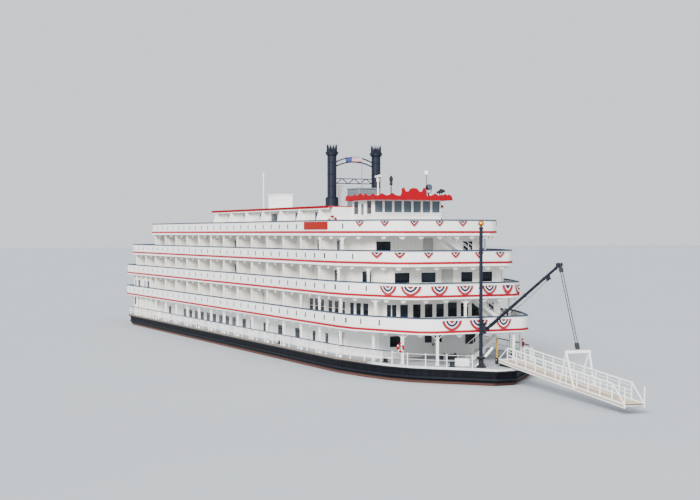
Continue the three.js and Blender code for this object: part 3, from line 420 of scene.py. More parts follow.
# White enamel with boarded soffits, and matt grey paint on what is walked on.
deck_finish, tree, surface, place = new_finish("white enamelled deck with grey walkway")
walked = faces_up(tree)
above = add_node(tree, "ShaderNodeTexNoise", {"Vector": place, "Scale": scale_of(250), "Detail": 5})
grey = blend_colours(tree, above.outputs["Fac"], "#8d9297", "#a6a8a8")
boards = upright_lines(tree, place, 0.02, 0.0016)
soffit = faces_up(tree, -0.8, -0.9)
shown = add_node(tree, "ShaderNodeMath", {0: boards, 1: soffit}, operation="MULTIPLY")
white = blend_colours(tree, rain_streaks(tree, place, 18.2, 0.15), "#f7f6f3", "#d2cdc4")
white = blend_colours(tree, shown.outputs[0], white, "#b5afa3")
tree.links.new(blend_colours(tree, walked, white, grey), surface["Base Color"])
rough = add_node(tree, "ShaderNodeMapRange", {0: walked, 3: 0.4, 4: 0.8})
tree.links.new(rough.outputs[0], surface["Roughness"])
wear(deck_finish, "deck_2", "deck_3", "deck_4", "deck_5")

# Distance back from the front edge, and share of the narrowing there.
rounded_front = [(9.5, 0), (7, 0.065), (4.8, 0.26), (2.4, 0.516), (0.6, 0.742), (0, 1)]
main_deck = 3.4
# Floor, aft end, front edge and half-breadth at the front edge.
deck_tops = {"deck_2": (6.1, -41, 34, 3.96), "deck_3": (8.76, -40.7, 32.2, 4.33),
             "deck_4": (11.34, -38.2, 30.8, 4.6), "deck_5": (13.85, -29.7, 29, 4.02)}
slab = 0.2


def deck_edge(name):
    """The starboard half of a deck's edge, from the middle of the stern to the middle of the bow."""
    top, aft, front, half = deck_tops[name]
    side = [(front - back, (8 - half) * share - 8) for back, share in rounded_front]
    return Edge([(aft, 0), (aft, -8)] + side + [(front, 0)])


post_pitch = 4.1
first_post = 20.2
post_inset = 0.28
post_lines = {name: deck_edge(name).moved(post_inset) for name in deck_tops}
post_lines["deck_2"] = Edge([(-39.9, 0), (-39.9, -7.72), (18, -7.72), (24.3, -7.63), (28.3, -6.5),
                             (31.5, -5.5), (33.6, -3.5), (33.6, 0)])
# The posts forward of the regular row, by x.
front_posts = {"deck_2": [24.3, 28.3, 31.5, 33.59], "deck_3": [24.3, 28.4],
               "deck_4": [23.7, 27.15], "deck_5": [23.3]}
bracket_drop = 0.46
lobe_half, lobe_depth = 0.29, 0.25
valance_depth = 0.1
# Distances of the lobes round the front from the middle of the bow, to port if positive.
front_lobes = {
    "deck_2": [-12, -8.28, -4.91, -1.51, 2.05, 4.9, 8.28, 12],
    "deck_3": [-10.83, -7.29, -5.54, -3.64, -1.79, 1.7, 3.19, 5.6, 7.29, 10.83],
    "deck_4": [-10.41, -6.81, -5.26, -3.59, -1.89, -0.14, 1.52, 2.93, 4.23, 5.5, 6.95, 10.41],
    "deck_5": [-11.67, -8.42, -5.74, -4.06, -2.36, -0.62, 1.02, 2.45, 3.77, 5.74, 8.42, 11.67],
}


block_faces = [(0, 1, 3, 2), (4, 6, 7, 5), (0, 4, 5, 1), (2, 3, 7, 6), (0, 2, 6, 4), (1, 5, 7, 3)]


def block(x0, x1, y0, y1, z0, z1, finish=0):
    """A square-edged block between two corners."""
    points = [(x, y, z) for x in (x0, x1) for y in (y0, y1) for z in (z0, z1)]
    return points, block_faces, finish


def around(half):
    """The whole edge, from the middle of the stern by starboard and the bow to the stern again."""
    points = [tuple(p) for p in half.points[:-1]]
    return Edge(points + [(x, -y) for x, y in reversed(points)])


def hangings(name, aft):
    """Distances along the whole of a deck's post line of its posts, and of the lobes between them."""
    line = post_lines[name]
    posts = [line.reach(x) for x in front_posts[name]]
    x = first_post
    while x > aft + 1:
        posts.append(line.reach(x))
        x -= post_pitch
    posts.sort()
    ends = [line.reach(line.points[1].x) + 0.05] + posts
    lobes = [0.0, 2.05, 4.1, 6.15]
    lobes += [(a + b) / 2 for a, b in zip(ends, ends[1:])
              if (a + b) / 2 < line.length + front_lobes[name][0] - 1]
    posts += [2 * line.length - s for s in posts] + ([line.length] if name == "deck_3" else [])
    lobes += [2 * line.length - s for s in lobes] + [line.length + s for s in front_lobes[name]]
    return posts, lobes


def fretted_valance(name, underside, aft):
    """The valance below one deck with half-round lobes, and two open brackets on each post."""
    line = around(post_lines[name])
    posts, lobes = hangings(name, aft)

    def low(s):
        bottom = underside - valance_depth
        for at in lobes:
            if abs(s - at) < lobe_half:
                bottom -= lobe_depth * math.sqrt(1 - (abs(s - at) / lobe_half) ** 2)
        return bottom

    marks = {0.0, line.length}
    marks.update(r for r in line.reached if 0 < r < line.length)
    for at in lobes:
        marks.update(at + way * lobe_half * part for way in (-1, 1)
                     for part in (0, 0.4, 0.7, 0.92, 1))
    marks = sorted(s for s in marks if 0 <= s <= line.length)
    shapes = [strip(line, marks, -0.035, 0.035, low, underside)]
    for at in posts:
        place, step = line.at(at)
        bracket_reach = 0.78 if place.x > 19 else 0.6
        thick = 0.09 if place.x > 19 else 0.07

        def arm_low(s):
            away = min(1, abs(s - at) / bracket_reach)
            return underside - 0.1 - bracket_drop * (1 - away) ** 1.7

        for way in (-1, 1):
            run = sorted({at + way * bracket_reach * part
                          for part in (0.1, 0.18, 0.28, 0.4, 0.55, 0.75, 1)}
                         | {r for r in line.reached if 0.1 < (r - at) * way / bracket_reach < 1})
            shapes.append(strip(line, run, -0.04, 0.04, arm_low, lambda s: arm_low(s) + thick))
        for half, low_end, high_end in ((0.11, 0.68, 0.6), (0.12, 0.05, 0)):
            shapes.append(block(place.x - half, place.x + half, place.y - half, place.y + half,
                                underside - low_end, underside - high_end))
    return shapes


wear(white_enamel, "front_post")
floor_below = dict(zip(deck_tops, [main_deck] + [top for top, *edges in deck_tops.values()]))
moulding_low = {"deck_2": -0.15, "deck_3": -0.11, "deck_4": -0.06, "deck_5": -0.06}
for name, (top, aft, front, half) in deck_tops.items():
    edge = deck_edge(name)
    whole = edge.marks(0, edge.length)
    piece(f"{name}_valance", fretted_valance(name, top - slab, aft), [white_enamel])
    foot = top + moulding_low[name]
    piece(f"{name}_moulding", mirrored([
        strip(edge, whole, -0.03, 0.04, foot, foot + 0.18),
        strip(edge, whole, -0.01, 0.06, top - slab - 0.06, top - slab + 0.005, 1),
    ]), [faded_red, white_enamel])
    shoes = []
    for s in hangings(name, aft)[0]:
        place, step = around(post_lines[name]).at(s)
        shoes.append(block(place.x - 0.11, place.x + 0.11, place.y - 0.11, place.y + 0.11,
                           floor_below[name], floor_below[name] + 0.16))
    piece(f"{name}_post_shoes", shoes, [white_enamel])

# Rails. Plywood panels in white enamel between posts, with an open slot every two metres backed by a
# black plate that is painted shade, standing for the dark seen through the slot, and a slate-blue
# hardwood handrail on top. They stand in place of the frame's plain panels.
slot_low, slot_high = 0.3, 0.74
panel_top = 0.97
rail_top = 1.07
for name, (top, aft, front, half) in deck_tops.items():
    edge = deck_edge(name)
    slots = []
    s = edge.reach(19.7)
    while s > 0.6:
        slots.append(s)
        s -= post_pitch / 2
    s = edge.reach(19.7) + post_pitch / 2
    while s < edge.reach(front - 4.2):
        slots.append(s)
        s += post_pitch / 2
    slots.sort()

    def slot_half(s):
        return 0.14 if s < edge.reach(front - 8) else 0.08

    shapes = []
    ends = [0] + slots + [edge.length]
    for a, b in zip(ends, ends[1:]):
        start = a + (slot_half(a) if a else 0)
        end = b - (slot_half(b) if b < edge.length else 0)
        shapes.append(strip(edge, edge.marks(start, end), 0.03, 0.1, top, top + panel_top))
    for s in slots:
        marks = edge.marks(s - slot_half(s), s + slot_half(s))
        shapes.append(strip(edge, marks, 0.035, 0.095, top, top + slot_low))
        shapes.append(strip(edge, marks, 0.035, 0.095, top + slot_high, top + panel_top))
        # The black backing behind each slot is painted shade: it stands for the dark seen through the
        # opening.
        shapes.append(strip(edge, marks, 0.045, 0.095, top + slot_low, top + slot_high, 2))
    shapes.append(strip(edge, edge.marks(0, edge.length), 0.015, 0.12, top + 0.9, top + 0.94))
    shapes.append(strip(edge, edge.marks(0, edge.length), -0.02, 0.14, top + panel_top, top + rail_top, 1))
    made = piece(name.replace("deck", "rail") + "_panels", mirrored(shapes),
                 [white_enamel, rail_blue, black_enamel])
    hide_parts(name.replace("deck", "rail"))
wear(white_enamel, "main_rail_starboard", "main_rail_port")
main_rail_cap = strip(guard_edge, guard_edge.marks(guard_edge.reach(-39.9), guard_edge.reach(31.45)),
                      0.0, 0.11, main_deck + 1.02, main_deck + 1.09)
piece("main_rail_cap", mirrored([main_rail_cap]), [rail_blue])

# Deckhouses. Timber walls of upright boarding, painted a warm white that looks sand-coloured in
# the shade of the decks, with sash windows and panelled doors in white frames.
# Brushed oil paint on boarding: nearly matt, with a dark line between boards. Its warm cream tone is
# partly the paint and partly painted shade, for the shade under the decks.
wall_paint, tree, surface, place = new_finish("warm boarded wall paint with painted shade")
patches = add_node(tree, "ShaderNodeTexNoise", {"Vector": place, "Scale": scale_of(333), "Detail": 4})
tone = blend_colours(tree, patches.outputs["Fac"], "#f5f1e9", "#efe9de")
tone = blend_colours(tree, rain_streaks(tree, place, 16.67, 0.18), tone, "#cfc7b8")
grooves = upright_lines(tree, place, 0.04, 0.0016)
faint = add_node(tree, "ShaderNodeMath", {0: grooves, 1: 0.5}, operation="MULTIPLY")
tone = blend_colours(tree, faint.outputs[0], tone, "#b9b0a1")
tree.links.new(tone, surface["Base Color"])
surface["Roughness"].default_value = 0.6
raise_surface(tree, surface, grooves, 0.3, 0.0008)
wear(wall_paint, "engine_house", "house_2", "house_3", "house_4")
# The main house is of flush plates in the same white as the decks, whiter than the boarded walls above as
# painted light, for the light thrown up onto it from the water.
wear(white_enamel, "house_main")

# Tinted float glass over a dark cabin: blue-black with a soft gloss, paler where blinds hang.
dark_glass, tree, surface, place = new_finish("tinted glass over a dark cabin")
blinds = add_node(tree, "ShaderNodeTexNoise", {"Vector": place, "Scale": scale_of(323), "Detail": 1})
drawn = add_node(tree, "ShaderNodeMapRange", {0: blinds.outputs["Fac"], 1: 0.5, 2: 0.62, 4: 0.45})
tree.links.new(blend_colours(tree, drawn.outputs[0], "#0c121b", "#2a3442"), surface["Base Color"])
surface["Roughness"].default_value = 0.12
surface["Specular IOR Level"].default_value = 0.25
# The same glass where the wheelhouse behind it is lit from all sides, painted paler as painted light from
# inside, with patches of painted sky reflection.
glass_with_painted_light, tree, surface, place = new_finish("tinted glass with painted light and sky reflection")
painted_sky_reflection = add_node(tree, "ShaderNodeTexNoise", {"Vector": place, "Scale": scale_of(167), "Detail": 2})
tree.links.new(blend_colours(tree, painted_sky_reflection.outputs["Fac"], "#2c3b46", "#52646f"), surface["Base Color"])
surface["Roughness"].default_value = 0.1
surface["IOR"].default_value = 1.52


def wall_block(wall, along, out, up, finish=0):
    """A block on a wall: from and to along it, out from its face, and up."""
    x, y, dx, dy = wall
    points = [(x + dx * a + dy * o, y + dy * a - dx * o, z) for a in along for o in out for z in up]
    return points, block_faces, finish


def window(wall, start, width, sill, head, glass=1):
    """A pane of glass in a thin frame with a sill, and a meeting rail where it slides."""
    end = start + width
    shapes = [
        wall_block(wall, (start, end), (0.002, 0.01), (sill, head), glass),
        wall_block(wall, (start - 0.05, start), (0, 0.024), (sill, head)),
        wall_block(wall, (end, end + 0.05), (0, 0.024), (sill, head)),
        wall_block(wall, (start - 0.05, end + 0.05), (0, 0.026), (head, head + 0.05)),
        wall_block(wall, (start - 0.08, end + 0.08), (0, 0.05), (sill - 0.05, sill)),
    ]
    if head - sill > 1.2:
        middle = (sill + head) / 2
        shapes.append(wall_block(wall, (start, end), (0.01, 0.018), (middle - 0.012, middle + 0.012)))
    return shapes


def door(wall, start, width, floor, head, glass=1):
    """A panelled door with a light in its upper half."""
    end = start + width
    shapes = window(wall, start + 0.1, width - 0.2, floor + 0.95, head - 0.12, glass)
    for a, b in ((start - 0.05, start + 0.02), (end - 0.02, end + 0.05)):
        shapes.append(wall_block(wall, (a, b), (0, 0.035), (floor, head)))
    shapes.append(wall_block(wall, (start - 0.05, end + 0.05), (0, 0.045), (head, head + 0.06)))
    shapes.append(wall_block(wall, (start + 0.12, end - 0.12), (0, 0.02), (floor + 0.15, floor + 0.82)))
    shapes.append(wall_block(wall, (end - 0.09, end - 0.05), (0.0, 0.08), (floor + 0.95, floor + 1)))
    return shapes


house_half, corner_half, corner_back = 6.5, 5.1, 5
# Floor and front wall.
house_fronts = {name: (floor_below[deck], front) for name, deck, front in (
    ("house_main", "deck_2", 26.5), ("house_2", "deck_3", 28.8), ("house_3", "deck_4", 29.1),
    ("house_4", "deck_5", 25.7))}
# Windows along the starboard side: first x, width, sill and head above the floor, and how many at
# what pitch. The port side has the same.
side_windows = {
    "house_main": [(-27.67, 1.08, 0.8, 1.65, 1, 0), (-21.85, 1.15, 0.8, 1.65, 9, 2.07),
                   (-2.23, 1.1, 0.8, 1.65, 1, 0), (0.04, 0.5, 0.75, 1.65, 1, 0),
                   (3.69, 0.67, 0.8, 1.65, 1, 0), (5, 0.35, 0.75, 1.65, 1, 0),
                   (7.55, 1.18, 0.8, 1.65, 1, 0), (11.81, 1.28, 0.8, 1.65, 1, 0),
                   (15.9, 0.68, 0.7, 1.65, 1, 0), (18.73, 0.65, 0.7, 1.65, 1, 0)],
    "house_2": [(-6.56, 1.35, 0.65, 1.8, 1, 0), (-2.89, 1.0, 0.65, 1.8, 1, 0),
                (2.66, 1.27, 0.65, 1.8, 1, 0), (15.24, 0.82, 0.6, 1.85, 3, 1.2),
                (19.4, 0.82, 0.6, 1.85, 3, 1.33)],
    "house_3": [(-27.31, 0.85, 0.65, 1.8, 2, 0.9), (-5.32, 1.45, 0.65, 1.8, 1, 0),
                (-2.97, 1.13, 0.65, 1.8, 1, 0), (2.6, 1.24, 0.65, 1.8, 1, 0),
                (13.4, 1.34, 0.5, 1.85, 1, 0), (17.67, 1.3, 0.5, 1.85, 1, 0)],
    "house_4": [(-28.9, 1.35, 0.65, 1.72, 1, 0), (-26.84, 1.5, 0.65, 1.72, 1, 0),
                (-24.58, 1.32, 0.65, 1.72, 1, 0), (-5.32, 1.36, 0.65, 1.72, 1, 0),
                (-3.08, 1.16, 0.65, 1.72, 1, 0), (2.6, 1.2, 0.65, 1.72, 1, 0)],
}
side_doors = {"house_main": [21.4], "house_2": [8.7, 13.0], "house_3": [20.6],
              "house_4": [4.35, 8.6, 12.8, 16.95, 21.1]}
# Windows in the slanted walls by the front corners: distance forward from the side, width.
corner_windows = {"house_main": [], "house_2": [(0.04, 0.5), (0.82, 0.61), (1.71, 0.65), (4.64, 0.52)],
                  "house_3": [(1.4, 1.1)], "house_4": []}
front_windows = {
    "house_main": [(-3.6, 1, 0.9, 1.8), (3.6, 1, 0.9, 1.8)],
    "house_2": [(-4.87, 0.42, 0.65, 1.85)]
               + [(y, 0.72, 0.75, 1.85) for y in (-3.97, -2.79, -1.69, -0.62, 1.7, 2.75, 4.25)],
    "house_3": [(-4.3, 1.36, 0.97, 1.8), (-1.87, 1.34, 0.97, 1.8), (1.75, 1.1, 0.97, 1.8),
                (3.7, 1, 0.97, 1.8)],
    "house_4": [(-4.3, 1.36, 0.95, 1.75), (3.75, 1.05, 0.95, 1.75)],
}
# Windows aft, where the two lower houses are wider: first x, width, sill and head above the floor.
wide_half = 7.5
wide_windows = {
    "house_main": [(-39.1, 0.8, 1.3, 2.3), (-34.4, 0.7, 1.3, 2.3)],
    "house_2": [(x, width, 0.6, 1.8) for x, width in (
        (-38.82, 0.75), (-37.25, 0.85), (-34.62, 0.75), (-33.16, 0.78))],
}
# Middle and width of each front doorway: a glazed door on deck 2, and a deep recess with a plain
# door on the decks above.
front_doors = {"house_2": (0.55, 0.9), "house_3": (-0.1, 1.1), "house_4": (-0.05, 1)}
# Windows in the after walls: y, width, sill and head above the floor.
aft_windows = [(-5.2, 0.9, 0.8, 1.7), (-3.4, 0.9, 0.8, 1.7), (3.4, 0.9, 0.8, 1.7), (5.2, 0.9, 0.8, 1.7)]
house_afts = {"house_main": -39.4, "house_2": -39.4, "house_3": -37.6, "house_4": -29.2}
# Grey oil paint on the doors and backs of the front doorways, matt and a little dusty: its grey is painted
# shade of the recesses.
recess_shade_grey = enamel("grey door paint with painted recess shade", "#b9b8b4", "#aaa9a5", "#8f8d88", 0.6, 0.2)
for name, (floor, front) in house_fronts.items():
    side_wall = (0, -house_half, 1, 0)
    slant = Vector((corner_back, house_half - corner_half)).normalized()
    corner_wall = (front - corner_back, -house_half, slant.x, slant.y)
    shapes = []
    for first, width, sill, head, count, pitch in side_windows[name]:
        for i in range(count):
            shapes += window(side_wall, first + i * pitch, width, floor + sill, floor + head)
    for x in side_doors[name]:
        shapes += door(side_wall, x, 0.8, floor, floor + 1.95)
    for start, width in corner_windows[name]:
        shapes += window(corner_wall, start, width, floor + 0.65, floor + 1.85)
    for x, width, sill, head in wide_windows.get(name, []):
        shapes += window((0, -wide_half, 1, 0), x, width, floor + sill, floor + head)
    shapes = mirrored(shapes)
    aft_wall = (house_afts[name], 0, 0, -1)
    for y, width, sill, head in aft_windows:
        shapes += window(aft_wall, y - width / 2, width, floor + sill, floor + head)
    shapes += door(aft_wall, -0.45, 0.9, floor, floor + 2.0)
    front_wall = (front, 0, 0, 1)
    for y, width, sill, head in front_windows[name]:
        shapes += window(front_wall, y - width / 2, width, floor + sill, floor + head)
    if name in front_doors:
        y, width = front_doors[name]
        span = (y - width / 2, y + width / 2)
        if name == "house_2":
            shapes += window(front_wall, span[0] + 0.02, width - 0.04, floor + 0.75, floor + 1.95)
            # The grey block behind the glazed door is painted shade in the doorway.
            shapes.append(wall_block(front_wall, span, (-0.1, -0.04), (floor, floor + 2.05), 2))
            shapes.append(wall_block(front_wall, (span[0] + 0.12, span[1] - 0.12), (-0.04, -0.02),
                                     (floor + 0.12, floor + 0.62), 2))
        else:
            # The grey door and its panels are painted shade of the deep recess.
            shapes.append(wall_block(front_wall, span, (-0.115, -0.1), (floor, floor + 2.05), 2))
            for low, high in ((0.2, 0.9), (1.05, 1.85)):
                shapes.append(wall_block(front_wall, (span[0] + 0.15, span[1] - 0.15), (-0.1, -0.08),
                                         (floor + low, floor + high), 2))
            shapes.append(wall_block(front_wall, (span[0] + 0.06, span[0] + 0.1), (-0.1, -0.04),
                                     (floor + 0.95, floor + 1.05)))
    piece(f"{name}_joinery", shapes, [white_enamel, dark_glass, recess_shade_grey])


# Foredeck doors. Two boarded leaves, each with a glazed light and a pull, hinged on the walls of
# the doorway under deck 2.
def leaf_fittings(wall, ends, light, frame, panel):
    """What is fixed to the face of a hinged leaf: its light, the light's frame and a low panel."""
    left, right = ends
    low, high = light
    return [
        wall_block(wall, ends, (0, 0.02), light, 1),
        wall_block(wall, (left - frame, left), (0, 0.03), (low - frame, high + frame)),
        wall_block(wall, (right, right + frame), (0, 0.03), (low - frame, high + frame)),
        wall_block(wall, ends, (0, 0.03), (high, high + frame)),
        wall_block(wall, ends, (0, 0.03), (low - frame, low)),
        wall_block(wall, ends, (0, 0.02), panel),
    ]


wear(white_enamel, "foredeck_door_starboard", "foredeck_door_port")
for side, way in (("starboard", -1), ("port", 1)):
    wall = (house_fronts["house_main"][1], 0, 0, 1)
    shapes = leaf_fittings(wall, sorted((way * 0.14, way * 0.82)), (4.55, 5.15), 0.05, (3.6, 4.35))
    shapes.append(wall_block(wall, (way * 0.08 - 0.02, way * 0.08 + 0.02), (0, 0.07), (4.3, 4.5), 2))
    piece(f"foredeck_door_{side}_fittings", shapes, [white_enamel, dark_glass, black_enamel],
          body=f"foredeck_door_{side}")

# Upper house. A long low cabin on deck 5 with fins beside it, windows between them, a sloping after
# end, and a flat felted roof inside a red fascia.
wear(white_enamel, "house_5")
upper_floor = deck_tops["deck_5"][0]
upper_wall = (0, -5.3, 1, 0)
upper_front = 17.6
shapes = []
for x, width in ((-9.8, 0.8), (-5.1, 0.8), (-0.4, 0.75), (2.8, 1.7), (9, 0.8), (13.7, 0.8)):
    shapes += window(upper_wall, x, width, upper_floor + 0.85, upper_floor + 1.85)
piece("house_5_joinery", mirrored(shapes), [white_enamel, dark_glass])

# Roofing felt under a pale coating: off-white and dull, with red enamel on the fascia.
roof_finish, tree, surface, place = new_finish("pale roof coating with a red edge")
felt = add_node(tree, "ShaderNodeTexNoise", {"Vector": place, "Scale": scale_of(200), "Detail": 6})
pale = blend_colours(tree, felt.outputs["Fac"], "#c9c8c4", "#e3e1db")
tree.links.new(blend_colours(tree, faces_up(tree), "#9e0018", pale), surface["Base Color"])
surface["Roughness"].default_value = 0.6
wear(roof_finish, "roof_5")
roof_edge = Edge([(-13.9, 0), (-13.9, -5.8), (upper_front, -5.8)])
piece("roof_5_fascia", mirrored([
    strip(roof_edge, roof_edge.marks(0, roof_edge.length), 0.0, 0.06, 16.03, 16.24),
    strip(roof_edge, roof_edge.marks(0, roof_edge.length), 0.04, 0.14, 15.92, 16.05, 1),
]), [red_enamel, white_enamel])


# Pilothouse. A glazed timber box with a door in each side, under a red roof whose edge is cut in
# waves that rise to a crown in the middle.
def turned(profile, foot, axis=(0, 0, 1), sides=12, finish=0):
    """A piece turned about an axis from its foot. The profile's columns are height and radius."""
    axis = Vector(axis).normalized()
    side = axis.orthogonal().normalized()
    across = axis.cross(side)
    points = []
    for height, radius in profile:
        place = Vector(foot) + axis * height
        for j in range(sides):
            turn = 2 * math.pi * (j + 0.5) / sides
            points.append(tuple(place + (side * math.cos(turn) + across * math.sin(turn)) * radius))
    return skin(points, sides, finish)


wear(white_enamel, "pilothouse", "pilothouse_door_starboard", "pilothouse_door_port")
wear(red_enamel, "pilothouse_roof")
pilot = {"aft": upper_front, "front": 21.8, "half": 3.35, "sill": 15.6, "head": 16.6}
side_wall = (0, -pilot["half"], 1, 0)
shapes = []
for x in (17.95, 20.6):
    shapes += window(side_wall, x, 0.9, pilot["sill"] - 0.14, pilot["head"])
for ends in ((pilot["aft"], 19.2), (20.2, pilot["front"])):
    shapes.append(wall_block(side_wall, ends, (0, 0.04), (15.3, 15.36)))
shapes = mirrored(shapes)
front_wall = (pilot["front"], 0, 0, 1)
for i in range(7):
    y = (i - 3) * 0.94
    shapes += window(front_wall, y - 0.37, 0.74, pilot["sill"], pilot["head"], 2)
shapes.append(wall_block(front_wall, (-pilot["half"], pilot["half"]), (0, 0.05), (15.38, 15.46)))
# The port sidelight on its bracket: a red lamp before a red board.
shapes.append(block(21.3, 21.75, 3.35, 3.8, 15.98, 16.04))
shapes.append(block(21.3, 21.75, 3.35, 3.39, 16.04, 16.36, 3))
shapes.append(turned([(0, 0.1), (0.03, 0.12), (0.18, 0.12), (0.24, 0.06)],
                     (21.55, 3.6, 16.04), sides=10, finish=3))
piece("pilothouse_joinery", shapes, [white_enamel, dark_glass, glass_with_painted_light, red_enamel])
for side, way in (("starboard", -1), ("port", 1)):
    wall = (0, way * pilot["half"], -way, 0)
    ends = sorted((-way * 19.42, -way * 19.98))
    piece(f"pilothouse_door_{side}_fittings",
          leaf_fittings(wall, ends, (15.4, 16.35), 0.04, (14.1, 15.1)),
          [white_enamel, glass_with_painted_light], body=f"pilothouse_door_{side}")
crown_cap = [strip(Edge([(17.05, 0), (17.05, -3.8), (23.05, -3.8), (23.05, 0)]),
                   [0, 3.8, 9.8, 13.6], -0.03, 0.05, 16.66, 16.78)]
piece("pilothouse_roof_bead", mirrored(crown_cap), [red_enamel])


# Chimneys. Rolled steel tubes in navy enamel with welded bands, a flared collar and a crown of cut
# feathers, joined by an arch and a lattice. The arch's panel is plain bunting colours.
def pipe(line, radius, sides=8, finish=0):
    """A round bar along a line of points, closed at its ends."""
    line = [Vector(p) for p in line]
    points = []
    side = (line[1] - line[0]).orthogonal().normalized()
    for i, place in enumerate(line):
        along = (line[min(i + 1, len(line) - 1)] - line[max(i - 1, 0)]).normalized()
        side = (side - along * side.dot(along)).normalized()
        across = along.cross(side)
        for j in range(sides):
            turn = 2 * math.pi * j / sides
            points.append(tuple(place + (side * math.cos(turn) + across * math.sin(turn)) * radius))
    return skin(points, sides, finish)


wear(navy_enamel, "stack_starboard", "stack_port", "stack_arch", "stack_lattice")
roof_top = 16.2
stack_x, stack_y = 10.8, 2.32
ladder_x = stack_x - 0.5
shapes = []
for y in (-stack_y, stack_y):
    for z, radius, height in ((17.1, 0.56, 0.1), (18.2, 0.47, 0.08), (19.3, 0.47, 0.08),
                              (20.4, 0.47, 0.08), (21.12, 0.55, 0.1), (21.39, 0.64, 0.07),
                              (21.55, 0.5, 0.06)):
        shapes.append(turned([(0, radius - 0.03), (height * 0.3, radius), (height * 0.7, radius),
                              (height, radius - 0.03)], (stack_x, y, z), sides=24))
    shapes.append(turned([(0, 0.78), (0.06, 0.78), (0.06, 0.66), (0.2, 0.64)], (stack_x, y, roof_top),
                         sides=24))
    for i in range(15):
        z = roof_top + 0.3 * (i + 1)
        shapes.append(pipe([(ladder_x, y - 0.14, z), (ladder_x, y + 0.14, z)], 0.018, 6))
    for side in (-0.14, 0.14):
        shapes.append(pipe([(ladder_x, y + side, roof_top + 0.1), (ladder_x, y + side, 20.9)], 0.022, 6))
    shapes.append(pipe([(ladder_x + 0.06, y, 20.8), (ladder_x, y, 20.8)], 0.05, 6))
piece("stack_bands", shapes, [navy_enamel])
# Sign paint on sheet steel, flat and a little faded: one blue field and six bars.
flag_blue = enamel("faded blue sign paint", "#2c3d78", "#3a4a80", "#26305a", 0.5, 0.2)
flag_white = enamel("faded white sign paint", "#ece6e2", "#dfd6d2", "#c8bdb8", 0.5, 0.2)
panel_foot, bar_height = 20.58, 0.065
shapes = []
for x0, x1 in ((10.835, 10.87), (10.73, 10.765)):
    shapes.append(block(x0, x1, -0.82, -0.25, panel_foot, panel_foot + 6 * bar_height, 1))
    for i in range(6):
        z = panel_foot + i * bar_height
        shapes.append(block(x0, x1, -0.25, 0.82, z, z + bar_height, 2 if i % 2 else 0))
piece("stack_arch_panel", shapes, [faded_red, flag_blue, flag_white])


# Gear on the roofs: a louvred plenum, a vent trunk, a locker, the lantern, the lamp post, the radar
# and the searchlight, all of painted sheet steel, bolted down through the felt.
def board(outline, shift, finish=0):
    """A flat board cut to an outline of points, as thick as shift."""
    count = len(outline)
    points = [tuple(p) for p in outline] + [tuple(Vector(p) + Vector(shift)) for p in outline]
    faces = [tuple(range(count))[::-1], tuple(range(count, 2 * count))]
    for i in range(count):
        j = (i + 1) % count
        faces.append((i, j, count + j, count + i))
    return points, faces, finish


wear(grey_enamel, "louvre_box", "light_post")
wear(white_enamel, "vent_trunk", "roof_locker", "aerial_mast", "radar_post")
wear(black_enamel, "lantern_post")
wheelhouse_top = 16.85
radar_x, radar_y = 18.4, -1.2
lamp_x, lamp_y = 20.3, 2.7
shapes = []
for i in range(8):
    z = 16.45 + i * 0.17
    for y0, y1 in ((-1.1, -1.05), (1.05, 1.1)):
        shapes.append(block(11.78, 14.02, y0, y1, z, z + 0.11))
    for x0, x1 in ((11.65, 11.7), (14.1, 14.15)):
        shapes.append(block(x0, x1, -0.97, 0.97, z, z + 0.11))
for x0, x1 in ((11.64, 11.76), (14.04, 14.16)):
    for y0, y1 in ((-1.11, -0.97), (0.97, 1.11)):
        shapes.append(block(x0, x1, y0, y1, 16.21, 17.94))
shapes.append(block(11.6, 14.2, -1.15, 1.15, 17.9, 18.0))
piece("louvre_box_slats", shapes, [grey_enamel])
shapes = [block(9.22, 9.88, -1.33, -0.67, 18.3, 18.42),
          block(9.25, 9.85, -1.3, -0.7, roof_top, roof_top + 0.12)]
for x in (-9.4, -8.45, -7.5):
    for y0, y1 in ((-0.83, -0.8), (0.8, 0.83)):
        shapes.append(block(x, x + 0.85, y0, y1, 16.4, 17.6))
shapes.append(block(-9.58, -6.42, -0.88, 0.88, 17.88, 17.98))
shapes.append(turned([(0, 0.16), (0.05, 0.18), (0.12, 0.2), (0.24, 0.22), (0.34, 0.18), (0.4, 0.07)],
                     (lamp_x, lamp_y, 18.98)))
shapes.append(turned([(0, 0.16), (0.06, 0.16), (0.06, 0.08)], (radar_x, radar_y, wheelhouse_top)))
shapes.append(turned([(0, 0.14), (0.06, 0.14), (0.06, 0.06)], (lamp_x, lamp_y, wheelhouse_top)))
shapes.append(turned([(0, 0.02), (0.02, 0.06), (2.3, 0.03), (2.34, 0)], (-13, 0.0, 18.2), sides=8))
shapes.append(turned([(0, 0.12), (0.04, 0.12), (0.06, 0.04), (4.4, 0.025), (4.43, 0)],
                     (11.25, 0.6, roof_top), sides=8, finish=1))
piece("roof_gear_trim", shapes, [white_enamel, grey_enamel])
shapes = [
    turned([(0, 0.05), (0.05, 0.12), (0.12, 0.17), (0.2, 0.12), (0.42, 0.12), (0.48, 0.2),
            (0.58, 0.1), (0.66, 0.03), (0.7, 0.1), (0.8, 0.1), (0.86, 0.02)], (20.6, -1, 18.0)),
    turned([(0, 0.13), (0.06, 0.13), (0.06, 0.05)], (20.6, -1, wheelhouse_top)),
]
piece("lantern", shapes, [black_enamel])
# The scanner is a moulded bar on a round foot, in the same white as its post.
swing = math.radians(-15)
bar_outline = [(radar_x + along * math.cos(swing) - aside * math.sin(swing),
                radar_y + along * math.sin(swing) + aside * math.cos(swing), 18.8)
               for along, aside in ((-1, -0.08), (-0.92, -0.12), (0.92, -0.12), (1, -0.08),
                                    (1, 0.08), (0.92, 0.12), (-0.92, 0.12), (-1, 0.08))]
shapes = [turned([(0, 0.12), (0.12, 0.12)], (radar_x, radar_y, 18.703), sides=16),
          board(bar_outline, (0, 0, 0.17))]
made = piece("radar_scanner_bar", shapes, [white_enamel], body="radar")
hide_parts("radar_scanner")
